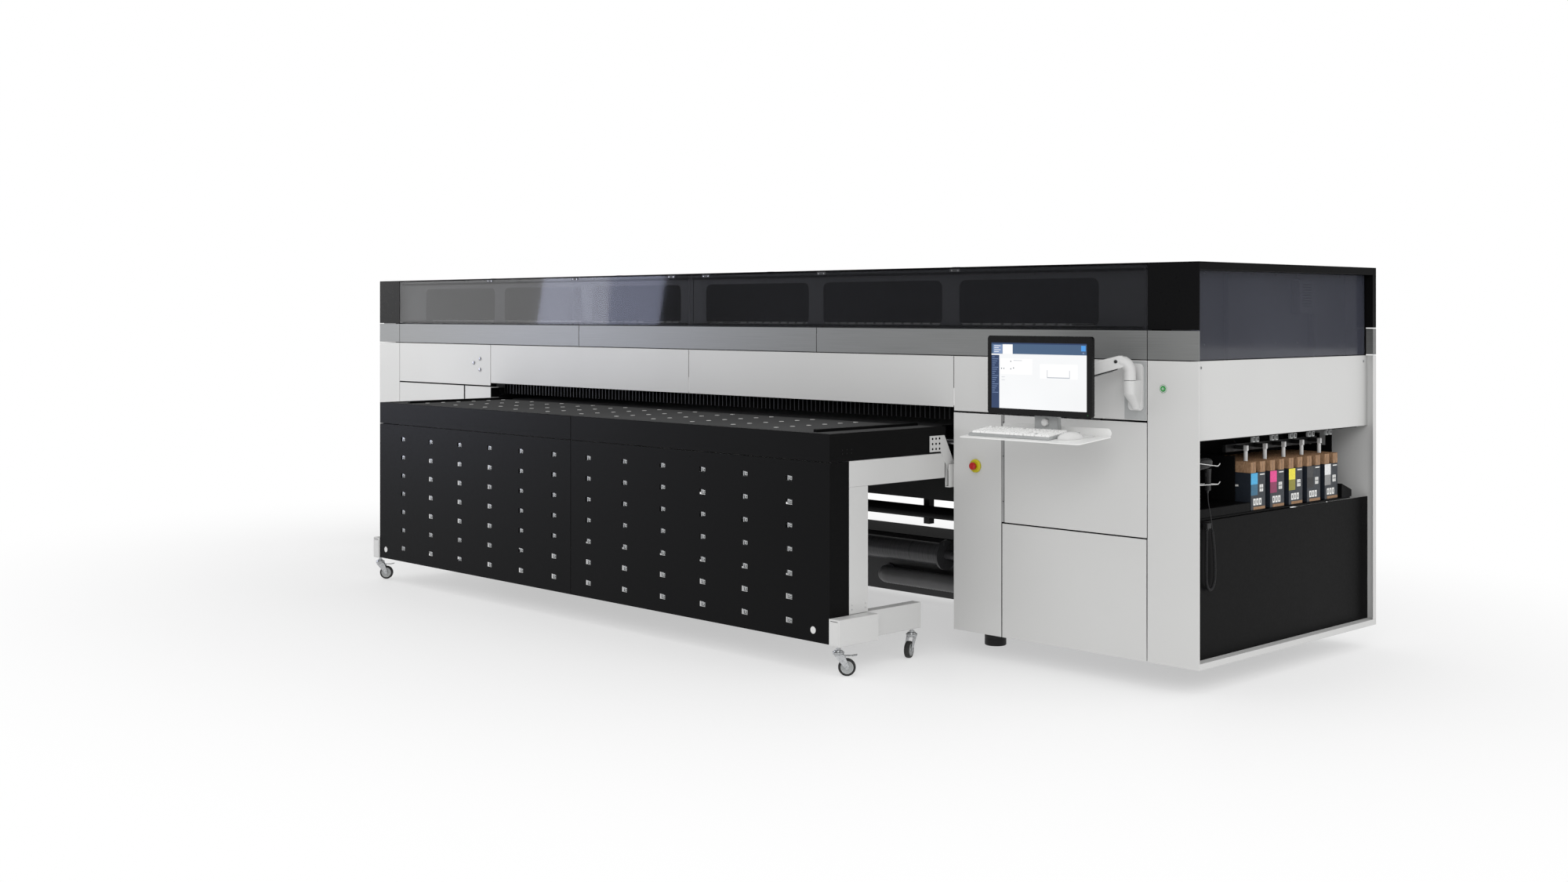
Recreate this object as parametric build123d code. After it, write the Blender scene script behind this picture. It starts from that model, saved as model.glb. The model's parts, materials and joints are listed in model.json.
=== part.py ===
from build123d import *
import math
import os

# Wide-format flatbed UV printer with a wheeled board table docked in front.
# Millimetres, +Z up, +X along the printer to the operator's right, +Y to the back.
# Shapes are drawn with Y = 0 on the printer's front face and are moved by
# -Y_MIDDLE when saved, so the origin is the middle of the footprint, on the floor.

os.makedirs("parts", exist_ok=True)

# ---- printer body ----
BODY_HALF = 3110.0
BODY_DEPTH = 1480.0
Z_BOTTOM = 101.0
Z_TOP = 1739.0
Z_GLASS = 1462.0
Z_BAND = 1339.0
Z_FASCIA = 1106.0
Z_FASCIA_END = 1090.0
Z_DOOR_TOP = 1082.0
Z_DOOR_SPLIT = 606.0
COLUMN = 245.0
SLOT_HALF = 1832.0
PILLAR = 275.0
GROOVE = 16.0
SKIN = 4.0
BAND_SEAM = 955.0
RECESS = 40.0
GLASS_BACK = 1446.0
SILL_TOP = 127.0
ROOF_Z = 1735.0
DECK_Z = 1026.0
BAY_FLOOR = 688.0
BAY_TOP = 1014.0
COLUMN_IN = BODY_HALF - COLUMN
PILLAR_OUT = SLOT_HALF + PILLAR
DOOR_IN = PILLAR_OUT + GROOVE
LOWER_DOOR_IN = PILLAR_OUT + 4
REAR = BODY_DEPTH - SKIN
END_IN = BODY_HALF - RECESS
CORNER_SHEETS = (  # front and rear: the sheet's y limits, then those of its return on the end
    (0, SKIN, SKIN, 7),
    (REAR, BODY_DEPTH, REAR - 24, REAR),
)

# ---- board table ----
TABLE_HALF = 1806.0
TABLE_FRONT = -776.0
TABLE_BACK = -24.0
TABLE_Z = 1015.0
LIP_TOP = 1019.0
LIP_LOW = 900.0
PANEL_LOW = 129.0
LEG_Y = (-657.0, -538.0)
BEAM_Z = (786.0, 898.0)
FOOT_Z = (127.0, 241.0)
SLEEVE_FRONT = -782.0
FRAME_W = 57.0
HOLE_COLS, HOLE_ROWS = 12, 7
HOLE_PITCH_X, HOLE_PITCH_Z = 283.4, 102.5
HOLE_TOP_Z = 818.0
HOLE_W = 40.0
GLIDE_PITCH_X, GLIDE_PITCH_Y = 288.0, 104.0
GLIDE_COLS, GLIDE_ROWS = 12, 6
GLIDE_FRONT_Y = -600.0

# ---- casters ----
WHEEL_R = 37.5
WHEEL_W = 24.0
TRAIL = 36.0
AXLE_R = 4.0
BRAKE_AT = (18.0, 86.0)
BRAKE_PIN = 1.5
CASTERS = {  # stem x, stem y, direction the wheel trails in (degrees), has a brake
    "front_right": (1837.0, -755.0, 46.0, True),
    "front_left": (-1837.0, -755.0, 46.0, True),
    "rear_right": (1778.0, -225.0, -68.0, False),
    "rear_left": (-1778.0, -225.0, -68.0, False),
}

# ---- media transport ----
ROLLER_R = 70.0
ROLLER_Z = 941.5
ROLLER_Y = (90.0, 1390.0)
BELT_IN, BELT_OUT = 70.5, 73.5
BELT_HALF = 1700.0
GUIDE_Y, GUIDE_Z, GUIDE_R = 350.0, 564.0, 30.0
ROLL_Y, ROLL_Z, ROLL_R = 515.0, 335.0, 55.0
BEARING_GAP = 0.05  # running clearance of every pin and journal

# ---- print engine ----
BEAM_Y = (620.0, 800.0)
BEAM_ZZ = (1300.0, 1440.0)
CARRIAGE_X = (1900.0, 2620.0)
CARRIAGE_Y = (205.0, 606.0)
CARRIAGE_Z = (1044.0, 1420.0)

# ---- ink bay ----
CARTONS = ["cyan", "magenta", "yellow", "black", "white"]
CARTON_FIRST_Y, CARTON_PITCH = 548.0, 156.0
CARTON_W, CARTON_X = 116.0, (2770.0, 3052.0)
CARTON_Z = (697.2, 856.0, 902.0)

# ---- operator station ----
POST_X, POST_Y, POST_PIN = 2821.0, -60.0, 8.0
HEAD_X, HEAD_Y, HEAD_PIN = 2540.0, -222.0, 6.0
ELBOW_Z, HEAD_Z = (1308.0, 1357.0), (1232.0, 1292.0)
MONITOR_X = (2274.0, 2807.0)
MONITOR_Y = -300.0
MONITOR_Z = (1109.0, 1437.0)
TRAY_TILT = 4.8
TILT_Y, TILT_Z, TILT_PIN = -258.0, 1232.0, 3.0

# ---- controls ----
STOP_X, STOP_Z, STOP_STEM = 1962.5, 848.0, 10.0
START_X, START_Z, START_R = 2944.5, 1224.0, 11.5

Y_MIDDLE = (SLEEVE_FRONT + BODY_DEPTH) / 2


def save(name, solids):
    """Write one sub-part, moved from the printer's front face to the row frame."""
    moved = [s.moved(Location((0, -Y_MIDDLE, 0))) for s in solids]
    shape = moved[0] if len(moved) == 1 else Compound(children=moved)
    export_step(shape, f"parts/{name}.step")


def block(x0, x1, y0, y1, z0, z1, edge=0.0):
    """A box between limits, with its edges broken by a small chamfer."""
    size = (abs(x1 - x0), y1 - y0, z1 - z0)
    box = Box(*size)
    if edge:
        box = chamfer(box.edges(), min(edge, min(size) * 0.4))
    return box.moved(Location(((x0 + x1) / 2, (y0 + y1) / 2, (z0 + z1) / 2)))


def pair(x0, x1, *limits, edge=0.0):
    """The same box on the right and on the left of the machine."""
    return [block(side * x0, side * x1, *limits, edge=edge) for side in (1, -1)]


def rod(x, y, z, radius, length, axis="z"):
    """A cylinder centred on a point, along one axis."""
    turn = {"x": (0, 90, 0), "y": (90, 0, 0), "z": (0, 0, 0)}[axis]
    return Cylinder(radius, length).moved(Location((x, y, z), turn))


def ring(x, y, z, outer, inner, length, axis="z"):
    return rod(x, y, z, outer, length, axis) - rod(x, y, z, inner, length + 2, axis)


def yz_plate(points, x0, x1):
    """A flat plate with an outline of (y, z) points, between two x values."""
    face = Plane.YZ * Polygon(*points, align=None)
    return extrude(face, amount=x1 - x0, dir=(1, 0, 0)).moved(Location((x0, 0, 0)))


def tube(points, radius, radii):
    """A round bar along straight runs joined by tangent arcs."""
    path = FilletPolyline(*points, radius=radii)
    start = Plane(origin=path @ 0, z_dir=path % 0)
    return sweep(start * Circle(radius), path=path)


def arc_radii(points):
    """The largest even arcs that each corner's two runs leave room for."""
    radii = []
    for a, b, c in zip(points, points[1:], points[2:]):
        into, out = Vector(*b) - Vector(*a), Vector(*c) - Vector(*b)
        half = math.radians(into.get_angle(out)) / 2
        radii.append(0.45 * min(into.length, out.length) / math.tan(half))
    return radii


# ================= printer housing =================


def corner_columns():
    out = []
    for y0, y1, r0, r1 in CORNER_SHEETS:
        out += pair(COLUMN_IN + 2, BODY_HALF, y0, y1, Z_BOTTOM, Z_BAND - 2, edge=1)
        out += pair(BODY_HALF - SKIN, BODY_HALF, r0, r1, SILL_TOP, Z_BAND - 2, edge=1)
    out += pair(END_IN - SKIN, BODY_HALF, SKIN, REAR, Z_BOTTOM, SILL_TOP, edge=1)
    return out


def grey_band():
    out = []
    z = (Z_BAND + 2, Z_GLASS - 2)
    for y0, y1, r0, r1 in CORNER_SHEETS:
        out += pair(COLUMN_IN + 2, BODY_HALF, y0, y1, *z, edge=1)
        out += pair(BODY_HALF - SKIN, BODY_HALF, r0, r1, *z, edge=1)
        out += pair(BAND_SEAM + 2, COLUMN_IN - 2, y0, y1, *z, edge=1)
        out.append(block(-BAND_SEAM + 2, BAND_SEAM - 2, y0, y1, *z, edge=1))
    return out


def front_panels():
    upper = (Z_DOOR_SPLIT + 3, Z_DOOR_TOP)
    out = pair(2, SLOT_HALF - 2, 0, SKIN, Z_FASCIA, Z_BAND - 2, edge=1)
    out += pair(SLOT_HALF + 2, COLUMN_IN - 2, 0, SKIN, Z_FASCIA_END, Z_BAND - 2, edge=1)
    out += pair(SLOT_HALF, PILLAR_OUT - 2, 0, SKIN, Z_BOTTOM, Z_DOOR_TOP, edge=1)
    out += pair(SLOT_HALF, SLOT_HALF + SKIN, SKIN, 60, Z_BOTTOM, Z_DOOR_TOP, edge=1)
    out += pair(DOOR_IN, COLUMN_IN - 2, 0, SKIN, *upper, edge=1)
    out.append(
        block(-COLUMN_IN + 2, -LOWER_DOOR_IN, 0, SKIN, Z_BOTTOM, Z_DOOR_SPLIT - 3, edge=1)
    )
    out += pair(PILLAR_OUT - 4, DOOR_IN + 2, 6, 8, *upper)
    for x in (1796.0, 1816.0):  # hook channels that take the table's docking straps
        out += pair(x, x + 6, -18, 45, 748, 846, edge=1)
    out += pair(1796, 1822, -18, 45, 742, 748, edge=1)
    out += pair(1822, SLOT_HALF, 10, 45, 742, 846, edge=1)
    return out


def upper_frame():
    """Black corner posts, the strips around the end windows, the back and the roof."""
    post_z = (Z_GLASS + 2, ROOF_Z)
    strip_low = 1706.0
    out = pair(COLUMN_IN + 2, BODY_HALF, 0, SKIN, *post_z, edge=1)
    out += pair(BODY_HALF - SKIN, BODY_HALF, SKIN, 7, Z_GLASS + 2, strip_low, edge=1)
    out += pair(END_IN - SKIN, BODY_HALF, SKIN, REAR, strip_low, ROOF_Z, edge=1)
    out += pair(END_IN + 2, BODY_HALF, GLASS_BACK + 2, REAR, Z_GLASS + 2, strip_low, edge=1)
    out += pair(END_IN - 50, END_IN - 10, 1380, GLASS_BACK, Z_GLASS + 2, strip_low)
    out += pair(2, BODY_HALF, REAR, BODY_DEPTH, *post_z, edge=1)
    out += pair(BAND_SEAM + 1, BODY_HALF, 0, BODY_DEPTH, ROOF_Z, Z_TOP, edge=1)
    out.append(
        block(-BAND_SEAM + 1, BAND_SEAM - 1, 0, BODY_DEPTH, ROOF_Z, Z_TOP, edge=1)
    )
    return out


def side_windows():
    return pair(END_IN - 6, END_IN, 8, GLASS_BACK, Z_BAND + 2, 1704, edge=1)


WINDOW_CENTRES = (485.0, 1351.0, 2219.0)
WINDOW_W = 766.0
WINDOW_Z = (1474.0, 1681.0)


END_WALLS = (  # inner end wall, with the posts and the cabinet on its outer side
    (2960, 2963, 30, 1466, 1032, 1728),
    (2963, 2985, 420, 470, 1060, 1700),
    (2963, 3000, 985, 1115, 1530, 1680),
    (2963, 2990, 1130, 1250, 1060, 1600),
)


def window_frames():
    """Inner frame behind the hoods, with posts between six windows, and the end walls."""
    y = (34.0, 37.0)
    edges = [3.0]
    for centre in WINDOW_CENTRES:
        edges += [centre - WINDOW_W / 2, centre + WINDOW_W / 2]
    edges.append(COLUMN_IN - 2)
    out = pair(3, COLUMN_IN - 2, *y, WINDOW_Z[1], 1728, edge=0.8)
    out += pair(3, COLUMN_IN - 2, *y, 1430, WINDOW_Z[0], edge=0.8)
    for x0, x1 in zip(edges[::2], edges[1::2]):
        out += pair(x0, x1, *y, *WINDOW_Z)
    for x0, x1, y0, y1, z0, z1 in END_WALLS:
        out += pair(x0, x1, y0, y1, z0, z1)
    return out


def rear_panels():
    """White sheets on the back and the upper white panel of each end."""
    out = pair(2, SLOT_HALF - 2, REAR, BODY_DEPTH, Z_FASCIA, Z_BAND - 2, edge=1)
    out += pair(
        SLOT_HALF, COLUMN_IN - 2, REAR, BODY_DEPTH, Z_DOOR_SPLIT + 3, Z_BAND - 2, edge=1
    )
    out += pair(
        SLOT_HALF, COLUMN_IN - 2, REAR, BODY_DEPTH, Z_BOTTOM, Z_DOOR_SPLIT - 3, edge=1
    )
    out += pair(END_IN - SKIN, END_IN, 6, REAR, BAY_TOP, Z_BAND - 2, edge=1)
    return out


def liner_panels():
    """Black sheets: lower ends, ink bay lining, decks, slot walls and groove backs."""
    out = [block(END_IN - SKIN, END_IN, 6, REAR, SILL_TOP, BAY_FLOOR, edge=1)]
    out.append(block(-END_IN, -END_IN + SKIN, 6, REAR, SILL_TOP, BAY_TOP - 3, edge=1))
    out += pair(SLOT_HALF + SKIN, SLOT_HALF + 8, 60, REAR, Z_BOTTOM, DECK_Z)
    out += pair(SLOT_HALF + 8, END_IN - SKIN, 30, REAR, DECK_Z, DECK_Z + SKIN)
    out.append(block(-END_IN + 6, END_IN - 6, REAR - 6, REAR - 3, 1110, 1730))
    out.append(block(2700, 2703, 40, 1380, 170, 1010))
    out.append(block(2703, END_IN - SKIN, 40, 1380, 1010, 1013))
    return out


def control_bezels():
    """Yellow emergency stop disc, start button ring and three key locks."""
    out = [ring(STOP_X, -6, STOP_Z, 30, STOP_STEM + BEARING_GAP, 12, "y")]
    out.append(ring(START_X, -1.5, START_Z, 18, START_R + BEARING_GAP, 3, "y"))
    for x, z in ((-2011.5, 1225.0), (-1944.5, 1251.0), (-1944.5, 1184.0)):
        out.append(rod(x, -3, z, 11, 6, "y"))
        out.append(rod(x, -7, z, 6, 2, "y"))
    return out


def emergency_stop():
    """Mushroom head on its stem."""
    head = chamfer(rod(STOP_X, -25, STOP_Z, 17, 18, "y").edges(), 3)
    return [head + rod(STOP_X, -10.5, STOP_Z, STOP_STEM, 13, "y")]


def hood(side):
    """Tinted hood, hung from its top edge by three hinge leaves."""
    inner, outer = side * 3.0, side * (COLUMN_IN - 2)
    x0, x1 = min(inner, outer), max(inner, outer)
    out = [block(x0, x1, 0, 5, Z_GLASS + 3, 1732, edge=1)]
    for x in (140.0, 990.0, 1840.0):
        out.append(block(side * x - 30, side * x + 30, -1.6, 0, 1718, 1732, edge=0.4))
    out.append(block(x0 + 20, x1 - 20, 5, 17, Z_GLASS + 3, Z_GLASS + 15, edge=1))
    out.append(block(x0 + 20, x1 - 20, 5, 17, 1706, 1718, edge=1))
    return out


def service_door():
    """Lower right door with a folded rim, hinged at its right edge."""
    x0, x1 = LOWER_DOOR_IN, COLUMN_IN - 4
    z0, z1 = Z_BOTTOM, Z_DOOR_SPLIT - 3
    out = [block(x0, x1, 0, SKIN, z0, z1, edge=1)]
    for low, high in ((z0 + 2, z0 + 5), (z1 - 5, z1 - 2)):
        out.append(block(x0 + 6, x1 - 6, SKIN, 22, low, high))
    for low, high in ((x0 + 6, x0 + 9), (x1 - 9, x1 - 6)):
        out.append(block(low, high, SKIN, 22, z0 + 5, z1 - 5))
    return out


# ================= base and media transport =================


def bearing(x0, x1, y, z, radius, size):
    """A bearing block with a running bore for a roller's journal."""
    body = block(x0, x1, y - size, y + size, z - size, z + size)
    return body - rod((x0 + x1) / 2, y, z, radius + BEARING_GAP, 80, "x")


FEET = [(1864, 260), (1880, 1200), (2665, 740)]


def base_frame():
    """Welded tubes, the black cross sheets under the bed, and bearing blocks."""
    out = []
    for y in (100, 1320):
        out += pair(1850, 1910, y, y + 60, 161, 1016)
        out += pair(2640, 2690, y, y + 60, 161, 1016)
        out += pair(1850, 2690, y, y + 60, 101, 161)
    out += pair(1850, 1910, 160, 1320, 101, 161)
    out += pair(2640, 2690, 160, 1320, 101, 161)
    out.append(block(-1836, 1836, 620, 690, 101, 141))
    out.append(block(-1836, 1836, 1010, 1070, 101, 161))
    out.append(block(-1834, 1834, 155, 159, 655, 860))
    out.append(block(-1834, 1834, 1316, 1320, 655, 860))
    out.append(block(-1834, 1834, 159, 1316, 655, 659))
    for x in (-1333, 0, 1333):
        out.append(block(x - 18, x + 18, 384, 420, 500, 655))
    for side in (1, -1):
        for y in ROLLER_Y:
            out.append(bearing(side * 1796, side * 1836, y, ROLLER_Z, 15, 28))
        out.append(bearing(side * 1796, side * 1836, GUIDE_Y, GUIDE_Z, 10, 24))
        out.append(bearing(side * 1796, side * 1836, ROLL_Y, ROLL_Z, 20, 36))
    return out


def levelling_feet():
    out = []
    for x, y in FEET:
        for side in (1, -1):
            pad = chamfer(Cylinder(50, 66).edges(), 3)
            out.append(pad.moved(Location((side * x, y, 33))))
            out.append(rod(side * x, y, 83.5, 13, 35))
    return out


def roller(y, z, radius, half, journal, journal_end=1830.0):
    out = rod(0, y, z, radius, 2 * half, "x") + rod(
        0, y, z, journal, 2 * journal_end, "x"
    )
    return [out]


def belt_loop(radius, half):
    """The solid inside one surface of the belt's loop."""
    body = block(-half, half, *ROLLER_Y, ROLLER_Z - radius, ROLLER_Z + radius)
    for y in ROLLER_Y:
        body += rod(0, y, ROLLER_Z, radius, 2 * half, "x")
    return body


def transport_belt():
    return [belt_loop(BELT_OUT, BELT_HALF) - belt_loop(BELT_IN, BELT_HALF + 20)]


def vacuum_bed():
    low, high = ROLLER_Z - 62, ROLLER_Z + BELT_IN - 1.5
    out = [block(-1690, 1690, 190, 1290, high - 12, high)]
    for x in (-1690, -1130, -570, 1686, 1126, 566, -2):
        out.append(block(x, x + 4, 190, 1290, low, high - 12))
    out.append(block(-1690, 1690, 190, 1290, low - 4, low))
    return out


def slot_comb():
    """Row of black fins that hangs over the board slot."""
    pitch, count, z0, z1 = 30.0, 121, 1042.0, 1100.0
    comb = block(-1826, 1826, 104, 110, z0, z1)
    first = -pitch * (count - 1) / 2
    fins = [
        block(first + pitch * i - 2.5, first + pitch * i + 2.5, 80, 104, z0, z1)
        for i in range(count)
    ]
    return [comb.fuse(*fins)]


def winder_housing():
    """Black roll-feed cabinet under the bed, and the ribbed exhaust hose beside it."""
    x, back, top = 1820.0, 916.0, 400.0
    out = [block(-x, x, 600, back, top - 4, top)]
    out.append(block(-x, x, 610, 614, 101, top - 4))
    out.append(block(-x, x, back - 4, back, 145, top - 4))
    out.append(block(-x, x, 614, back, 141, 145))
    out += pair(x - 4, x, 614, back - 4, 145, top - 4)
    out.append(block(-x, x, 592, 610, 262, 280))
    out.append(tube([(1780, 546, 190), (880, 546, 190), (880, 609, 190)], 42, 60))
    return out


def media_roll():
    """Roll of film on its shaft, between two end flanges."""
    out = rod(0, ROLL_Y, ROLL_Z, ROLL_R, 2680, "x")
    out += rod(0, ROLL_Y, ROLL_Z, 20, 3660, "x")
    for x in (-1344, 1344):
        out += rod(x, ROLL_Y, ROLL_Z, 74, 12, "x")
    return [out]


# ================= print engine =================


def gantry_beam():
    """Carriage beam on its end posts, with two linear rails and a magnet track."""
    out = [block(-2880, 2880, *BEAM_Y, *BEAM_ZZ, edge=2)]
    for z in (1318, 1402):
        out.append(block(-2860, 2860, 608, 620, z, z + 20))
    out.append(block(-2860, 2860, 612, 620, 1352, 1388))
    out += pair(2700, 2860, 640, 780, DECK_Z + SKIN, BEAM_ZZ[0])
    return out


def print_carriage():
    """Open-bottomed cover over the heads, carried on four rail trucks."""
    (x0, x1), (y0, y1), (_, z1) = CARRIAGE_X, CARRIAGE_Y, CARRIAGE_Z
    low = 1090.0
    out = [block(x0, x1, y0, y1 - 12, z1 - 4, z1, edge=1)]
    out.append(block(x0, x1, y0, y0 + 4, low, z1 - 4, edge=1))
    out.append(block(x0, x1, y1 - 16, y1 - 12, low, z1 - 4, edge=1))
    out.append(block(x0, x0 + 4, y0 + 4, y1 - 16, low, z1 - 4))
    out.append(block(x1 - 4, x1, y0 + 4, y1 - 16, low, z1 - 4))
    out.append(block(x0 + 4, x1 - 4, y0 + 4, y1 - 16, low, low + 6))
    for x in (x0 + 60, x1 - 140):
        for z in (1310, 1394):
            out.append(block(x, x + 80, y1 - 12, 607.5, z, z + 36))
    return out


def carriage_heads():
    """Two UV lamps with a bank of print heads between them."""
    (x0, x1), (y0, y1), (z0, _) = CARRIAGE_X, CARRIAGE_Y, CARRIAGE_Z
    out = []
    for x in (x0 + 8, x1 - 88):
        out.append(block(x, x + 80, y0 + 14, y1 - 26, z0 + 2, 1090, edge=3))
    heads, span = 8, x1 - x0 - 200
    for i in range(heads):
        x = x0 + 100 + span * i / heads
        out.append(block(x + 6, x + span / heads - 6, 260, 540, z0, 1090, edge=2))
    return out


def cable_chain():
    """Energy chain laid in its trough in front of the beam."""
    out = [block(-2700, 2760, 88, 92, 1440, 1478)]
    out.append(block(-2700, 2760, 148, 152, 1440, 1478))
    out.append(block(-2700, 2760, 92, 148, 1440, 1444))
    pitch, count, first = 60.0, 86, -2640.0
    chain = block(first, first + pitch * count - 16, 102, 138, 1444.5, 1450)
    links = [
        block(first + pitch * i, first + pitch * i + 44, 98, 142, 1446, 1486)
        for i in range(count)
    ]
    out.append(chain.fuse(*links))
    return out


def maintenance_station():
    """Drip tray with caps that the heads rest over."""
    out = [block(1890, 2630, 200, 590, DECK_Z + SKIN, 1036)]
    for i in range(8):
        x = 2004 + 65 * i
        out.append(block(x, x + 51, 262, 538, 1036, 1041))
    return out


# ================= ink bay =================


def carton_y(index):
    return CARTON_FIRST_Y + CARTON_PITCH * index


def ink_tray():
    """Black shelf for the cartons, with a ledge, an end stop and a slotted guard."""
    out = [block(2720, 3060, 60, 1330, 690, 697, edge=1)]
    out.append(block(2720, 3060, 60, 472, 697, 735, edge=2))
    out.append(yz_plate([(1250, 697), (1340, 697), (1340, 728), (1250, 760)], 2720, 3062))
    guard = block(2770, 3010, 1252, 1256, 760, 985)
    for x in (2810, 2880, 2950):
        guard -= block(x, x + 30, 1240, 1270, 930, 1000)
    out.append(guard)
    out.append(block(2720, 2984, 474, 478, 697, 925))
    return out


def ink_connectors():
    """White quick couplings over the cartons, on their rail, and status lamps."""
    out = [block(2924, 2944, 470, 1240, 938, 972, edge=2)]
    for i in range(len(CARTONS)):
        y = carton_y(i)
        neck = chamfer(Cylinder(8, 90).edges(), 1)
        out.append(neck.moved(Location((2992, y, 907))))
        out.append(block(2944, 3004, y - 11, y + 11, 952, 966, edge=2))
        for dy in (-16, 16):
            out.append(block(3030, 3042, y + dy - 9, y + dy + 9, 984, 1010, edge=1))
    return out


def ink_carton(index):
    """Ink carton: a full-height box whose open top is two cardboard walls."""
    y, half = carton_y(index), CARTON_W / 2
    low, shoulder, top = CARTON_Z
    out = [block(*CARTON_X, y - half, y + half, low, shoulder, edge=1)]
    for a, b in ((-half, -17), (17, half)):
        out.append(block(*CARTON_X, y + a, y + b, shoulder, top, edge=1))
    return out


# ================= hand scanner =================


def scanner_dock():
    """Wire holder for the hand scanner, its back plate, and the lead's socket."""
    out = [block(3046, 3102, SKIN, 9, 800, 945, edge=1)]
    for z in (838, 922):
        wire = [(3054, 9, z), (3054, 162, z), (3098, 162, z), (3098, 9, z)]
        out.append(tube(wire, 2.5, 12))
    out.append(block(END_IN, 3096, 84, 114, 660, 684, edge=2))
    return out


def barcode_scanner():
    body = block(3062, 3092, 40, 142, 893, 948, edge=8)
    grip = block(3065, 3089, 100, 132, 812, 893, edge=6)
    cap = block(3071, 3083, 110, 122, 805, 812)
    return [body, grip, cap]


LEAD_R, CURL_R = 2.5, 7.0
LEAD = [
    (3077, 116, 805),
    (3077.5, 117, 771),
    (3081, 124, 733),
    (3083, 133, 693),
    (3083, 140, 655),
]
CURL = [
    (3083, 140, 655),
    (3083, 147, 617),
    (3083.5, 155, 562),
    (3083, 159, 506),
    (3082.8, 160, 455),
    (3083, 148, 418),
    (3083, 118, 405),
    (3083, 98, 430),
    (3083.2, 95, 478),
    (3083, 95.5, 535),
    (3083.4, 97.5, 596),
    (3083, 99, 660),
]


# ================= operator station =================


def arm_mount():
    """Wall plate with the lower swivel bracket of the monitor arm."""
    body = block(2780, 2850, -12, 0, 1131, 1324, edge=4)
    body += yz_plate([(-12, 1140), (-12, 1256), (-60, 1256), (-60, 1196)], 2803, 2839)
    body += rod(POST_X, POST_Y, 1221, 24, 70)
    body += rod(POST_X, POST_Y, 1275, POST_PIN, 38)
    return [body]


def arm_link():
    """Elbow on the post and the sloping spring link down to the monitor head."""
    dx, dy = HEAD_X - POST_X, HEAD_Y - POST_Y
    length = math.hypot(dx, dy)
    turn = math.degrees(math.atan2(dy, dx))
    low, high = HEAD_Z
    foot, top = ELBOW_Z
    side = [(0, foot), (0, top), (40, top), (length - 30, high), (length - 30, low), (40, foot)]
    link = yz_plate(side, -22, 22).moved(Location((0, 0, 0), (0, 0, -90)))
    link += rod(0, 0, 1307, 25, 100)
    for z0 in (low, high - 7.5):
        link += block(length - 45, length, -20, 20, z0, z0 + 7.5)
        link += rod(length, 0, z0 + 3.75, 20, 7.5)
    link -= rod(0, 0, 1276.5, POST_PIN + BEARING_GAP, 39)
    link -= rod(length, 0, (low + high) / 2, HEAD_PIN + BEARING_GAP, 80)
    return [link.moved(Location((POST_X, POST_Y, 0), (0, 0, turn)))]


def head_bracket():
    """Swivel post, grey drop plate with its knob, and the arms of the tray."""
    low, high = HEAD_Z
    middle = (low + high) / 2
    body = rod(HEAD_X, HEAD_Y, middle, 21, 44) + rod(HEAD_X, HEAD_Y, middle, HEAD_PIN, 58)
    body += block(HEAD_X - 14, HEAD_X + 14, -245, -225, middle - 20, middle + 20)
    body += block(HEAD_X - 58, HEAD_X + 58, -249, -244, 1034, high, edge=1)
    for x in (HEAD_X - 58, HEAD_X + 53):
        body += block(x, x + 5, -245, -223, 1036, low - 16, edge=1)
    for x in (HEAD_X - 36, HEAD_X + 31):
        body += block(x, x + 5, -264, -248, TILT_Z - 10, TILT_Z + 10)
    body += rod(HEAD_X, TILT_Y, TILT_Z, TILT_PIN, 72, "x")
    knob = chamfer(Cylinder(16, 14).edges(), 2)
    return [body, knob.moved(Location((HEAD_X, -256, 1080), (90, 0, 0)))]


def monitor():
    """Monitor shell, glass, rear housing and the tilt block behind it."""
    x0, x1 = MONITOR_X
    z0, z1 = MONITOR_Z
    shell = Box(x1 - x0, 20, z1 - z0)
    shell = fillet(shell.edges().filter_by(Axis.Y), 9)
    out = [shell.moved(Location(((x0 + x1) / 2, MONITOR_Y + 10, (z0 + z1) / 2)))]
    out.append(block(x0 + 21, x0 + 508, -301, -300, z0 + 25, z0 + 299))
    out.append(block(x0 + 110, x1 - 110, -280, -268, z0 + 70, z1 - 70, edge=5))
    tilt = block(HEAD_X - 30, HEAD_X + 30, -268, -252, TILT_Z - 10, TILT_Z + 10, edge=2)
    out.append(tilt - rod(HEAD_X, TILT_Y, TILT_Z, TILT_PIN + BEARING_GAP, 80, "x"))
    return out


def tilted(solids):
    """Turn tray-borne pieces, drawn flat, by the tray's slope about its front edge."""
    front = Location((0, -440, 1014.5), (TRAY_TILT, 0, 0))
    return [s.moved(Location((0, 440, -1014.5))).moved(front) for s in solids]


def keyboard_tray():
    out = [block(2233, 2843, -440, -214, 1012, 1016, edge=1)]
    out.append(block(2290, 2843, -218, -214, 1016, 1048, edge=1))
    return tilted(out)


KEY_ROWS, KEY_COLS, KEY = 6, 21, 15.0


def keyboard():
    """Keyboard, and the mouse beside it."""
    x0, y0, z = 2251.0, -402.0, 1016.0
    base = block(x0, x0 + 418, y0, y0 + 150, z, z + 14, edge=3)
    keys = []
    for row in range(KEY_ROWS):
        for col in range(KEY_COLS):
            x = x0 + 12 + 19.0 * col
            y = y0 + 14 + 21.0 * row
            keys.append(block(x, x + KEY, y, y + KEY, z + 13.5, z + 20))
    above = Box(200, 200, 100).moved(Location((0, 0, 50)))
    mouse = scale(Sphere(20), by=(1.6, 2.7, 1.5)) & above
    mouse = mouse.moved(Location((2724, -330, z), (0, 0, -45)))
    return tilted([base.fuse(*keys), mouse])


# ================= board table =================


def hole_places():
    for col in range(HOLE_COLS):
        for row in range(HOLE_ROWS):
            x = HOLE_PITCH_X * (col - (HOLE_COLS - 1) / 2)
            yield x, HOLE_TOP_Z - HOLE_PITCH_Z * row


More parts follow.
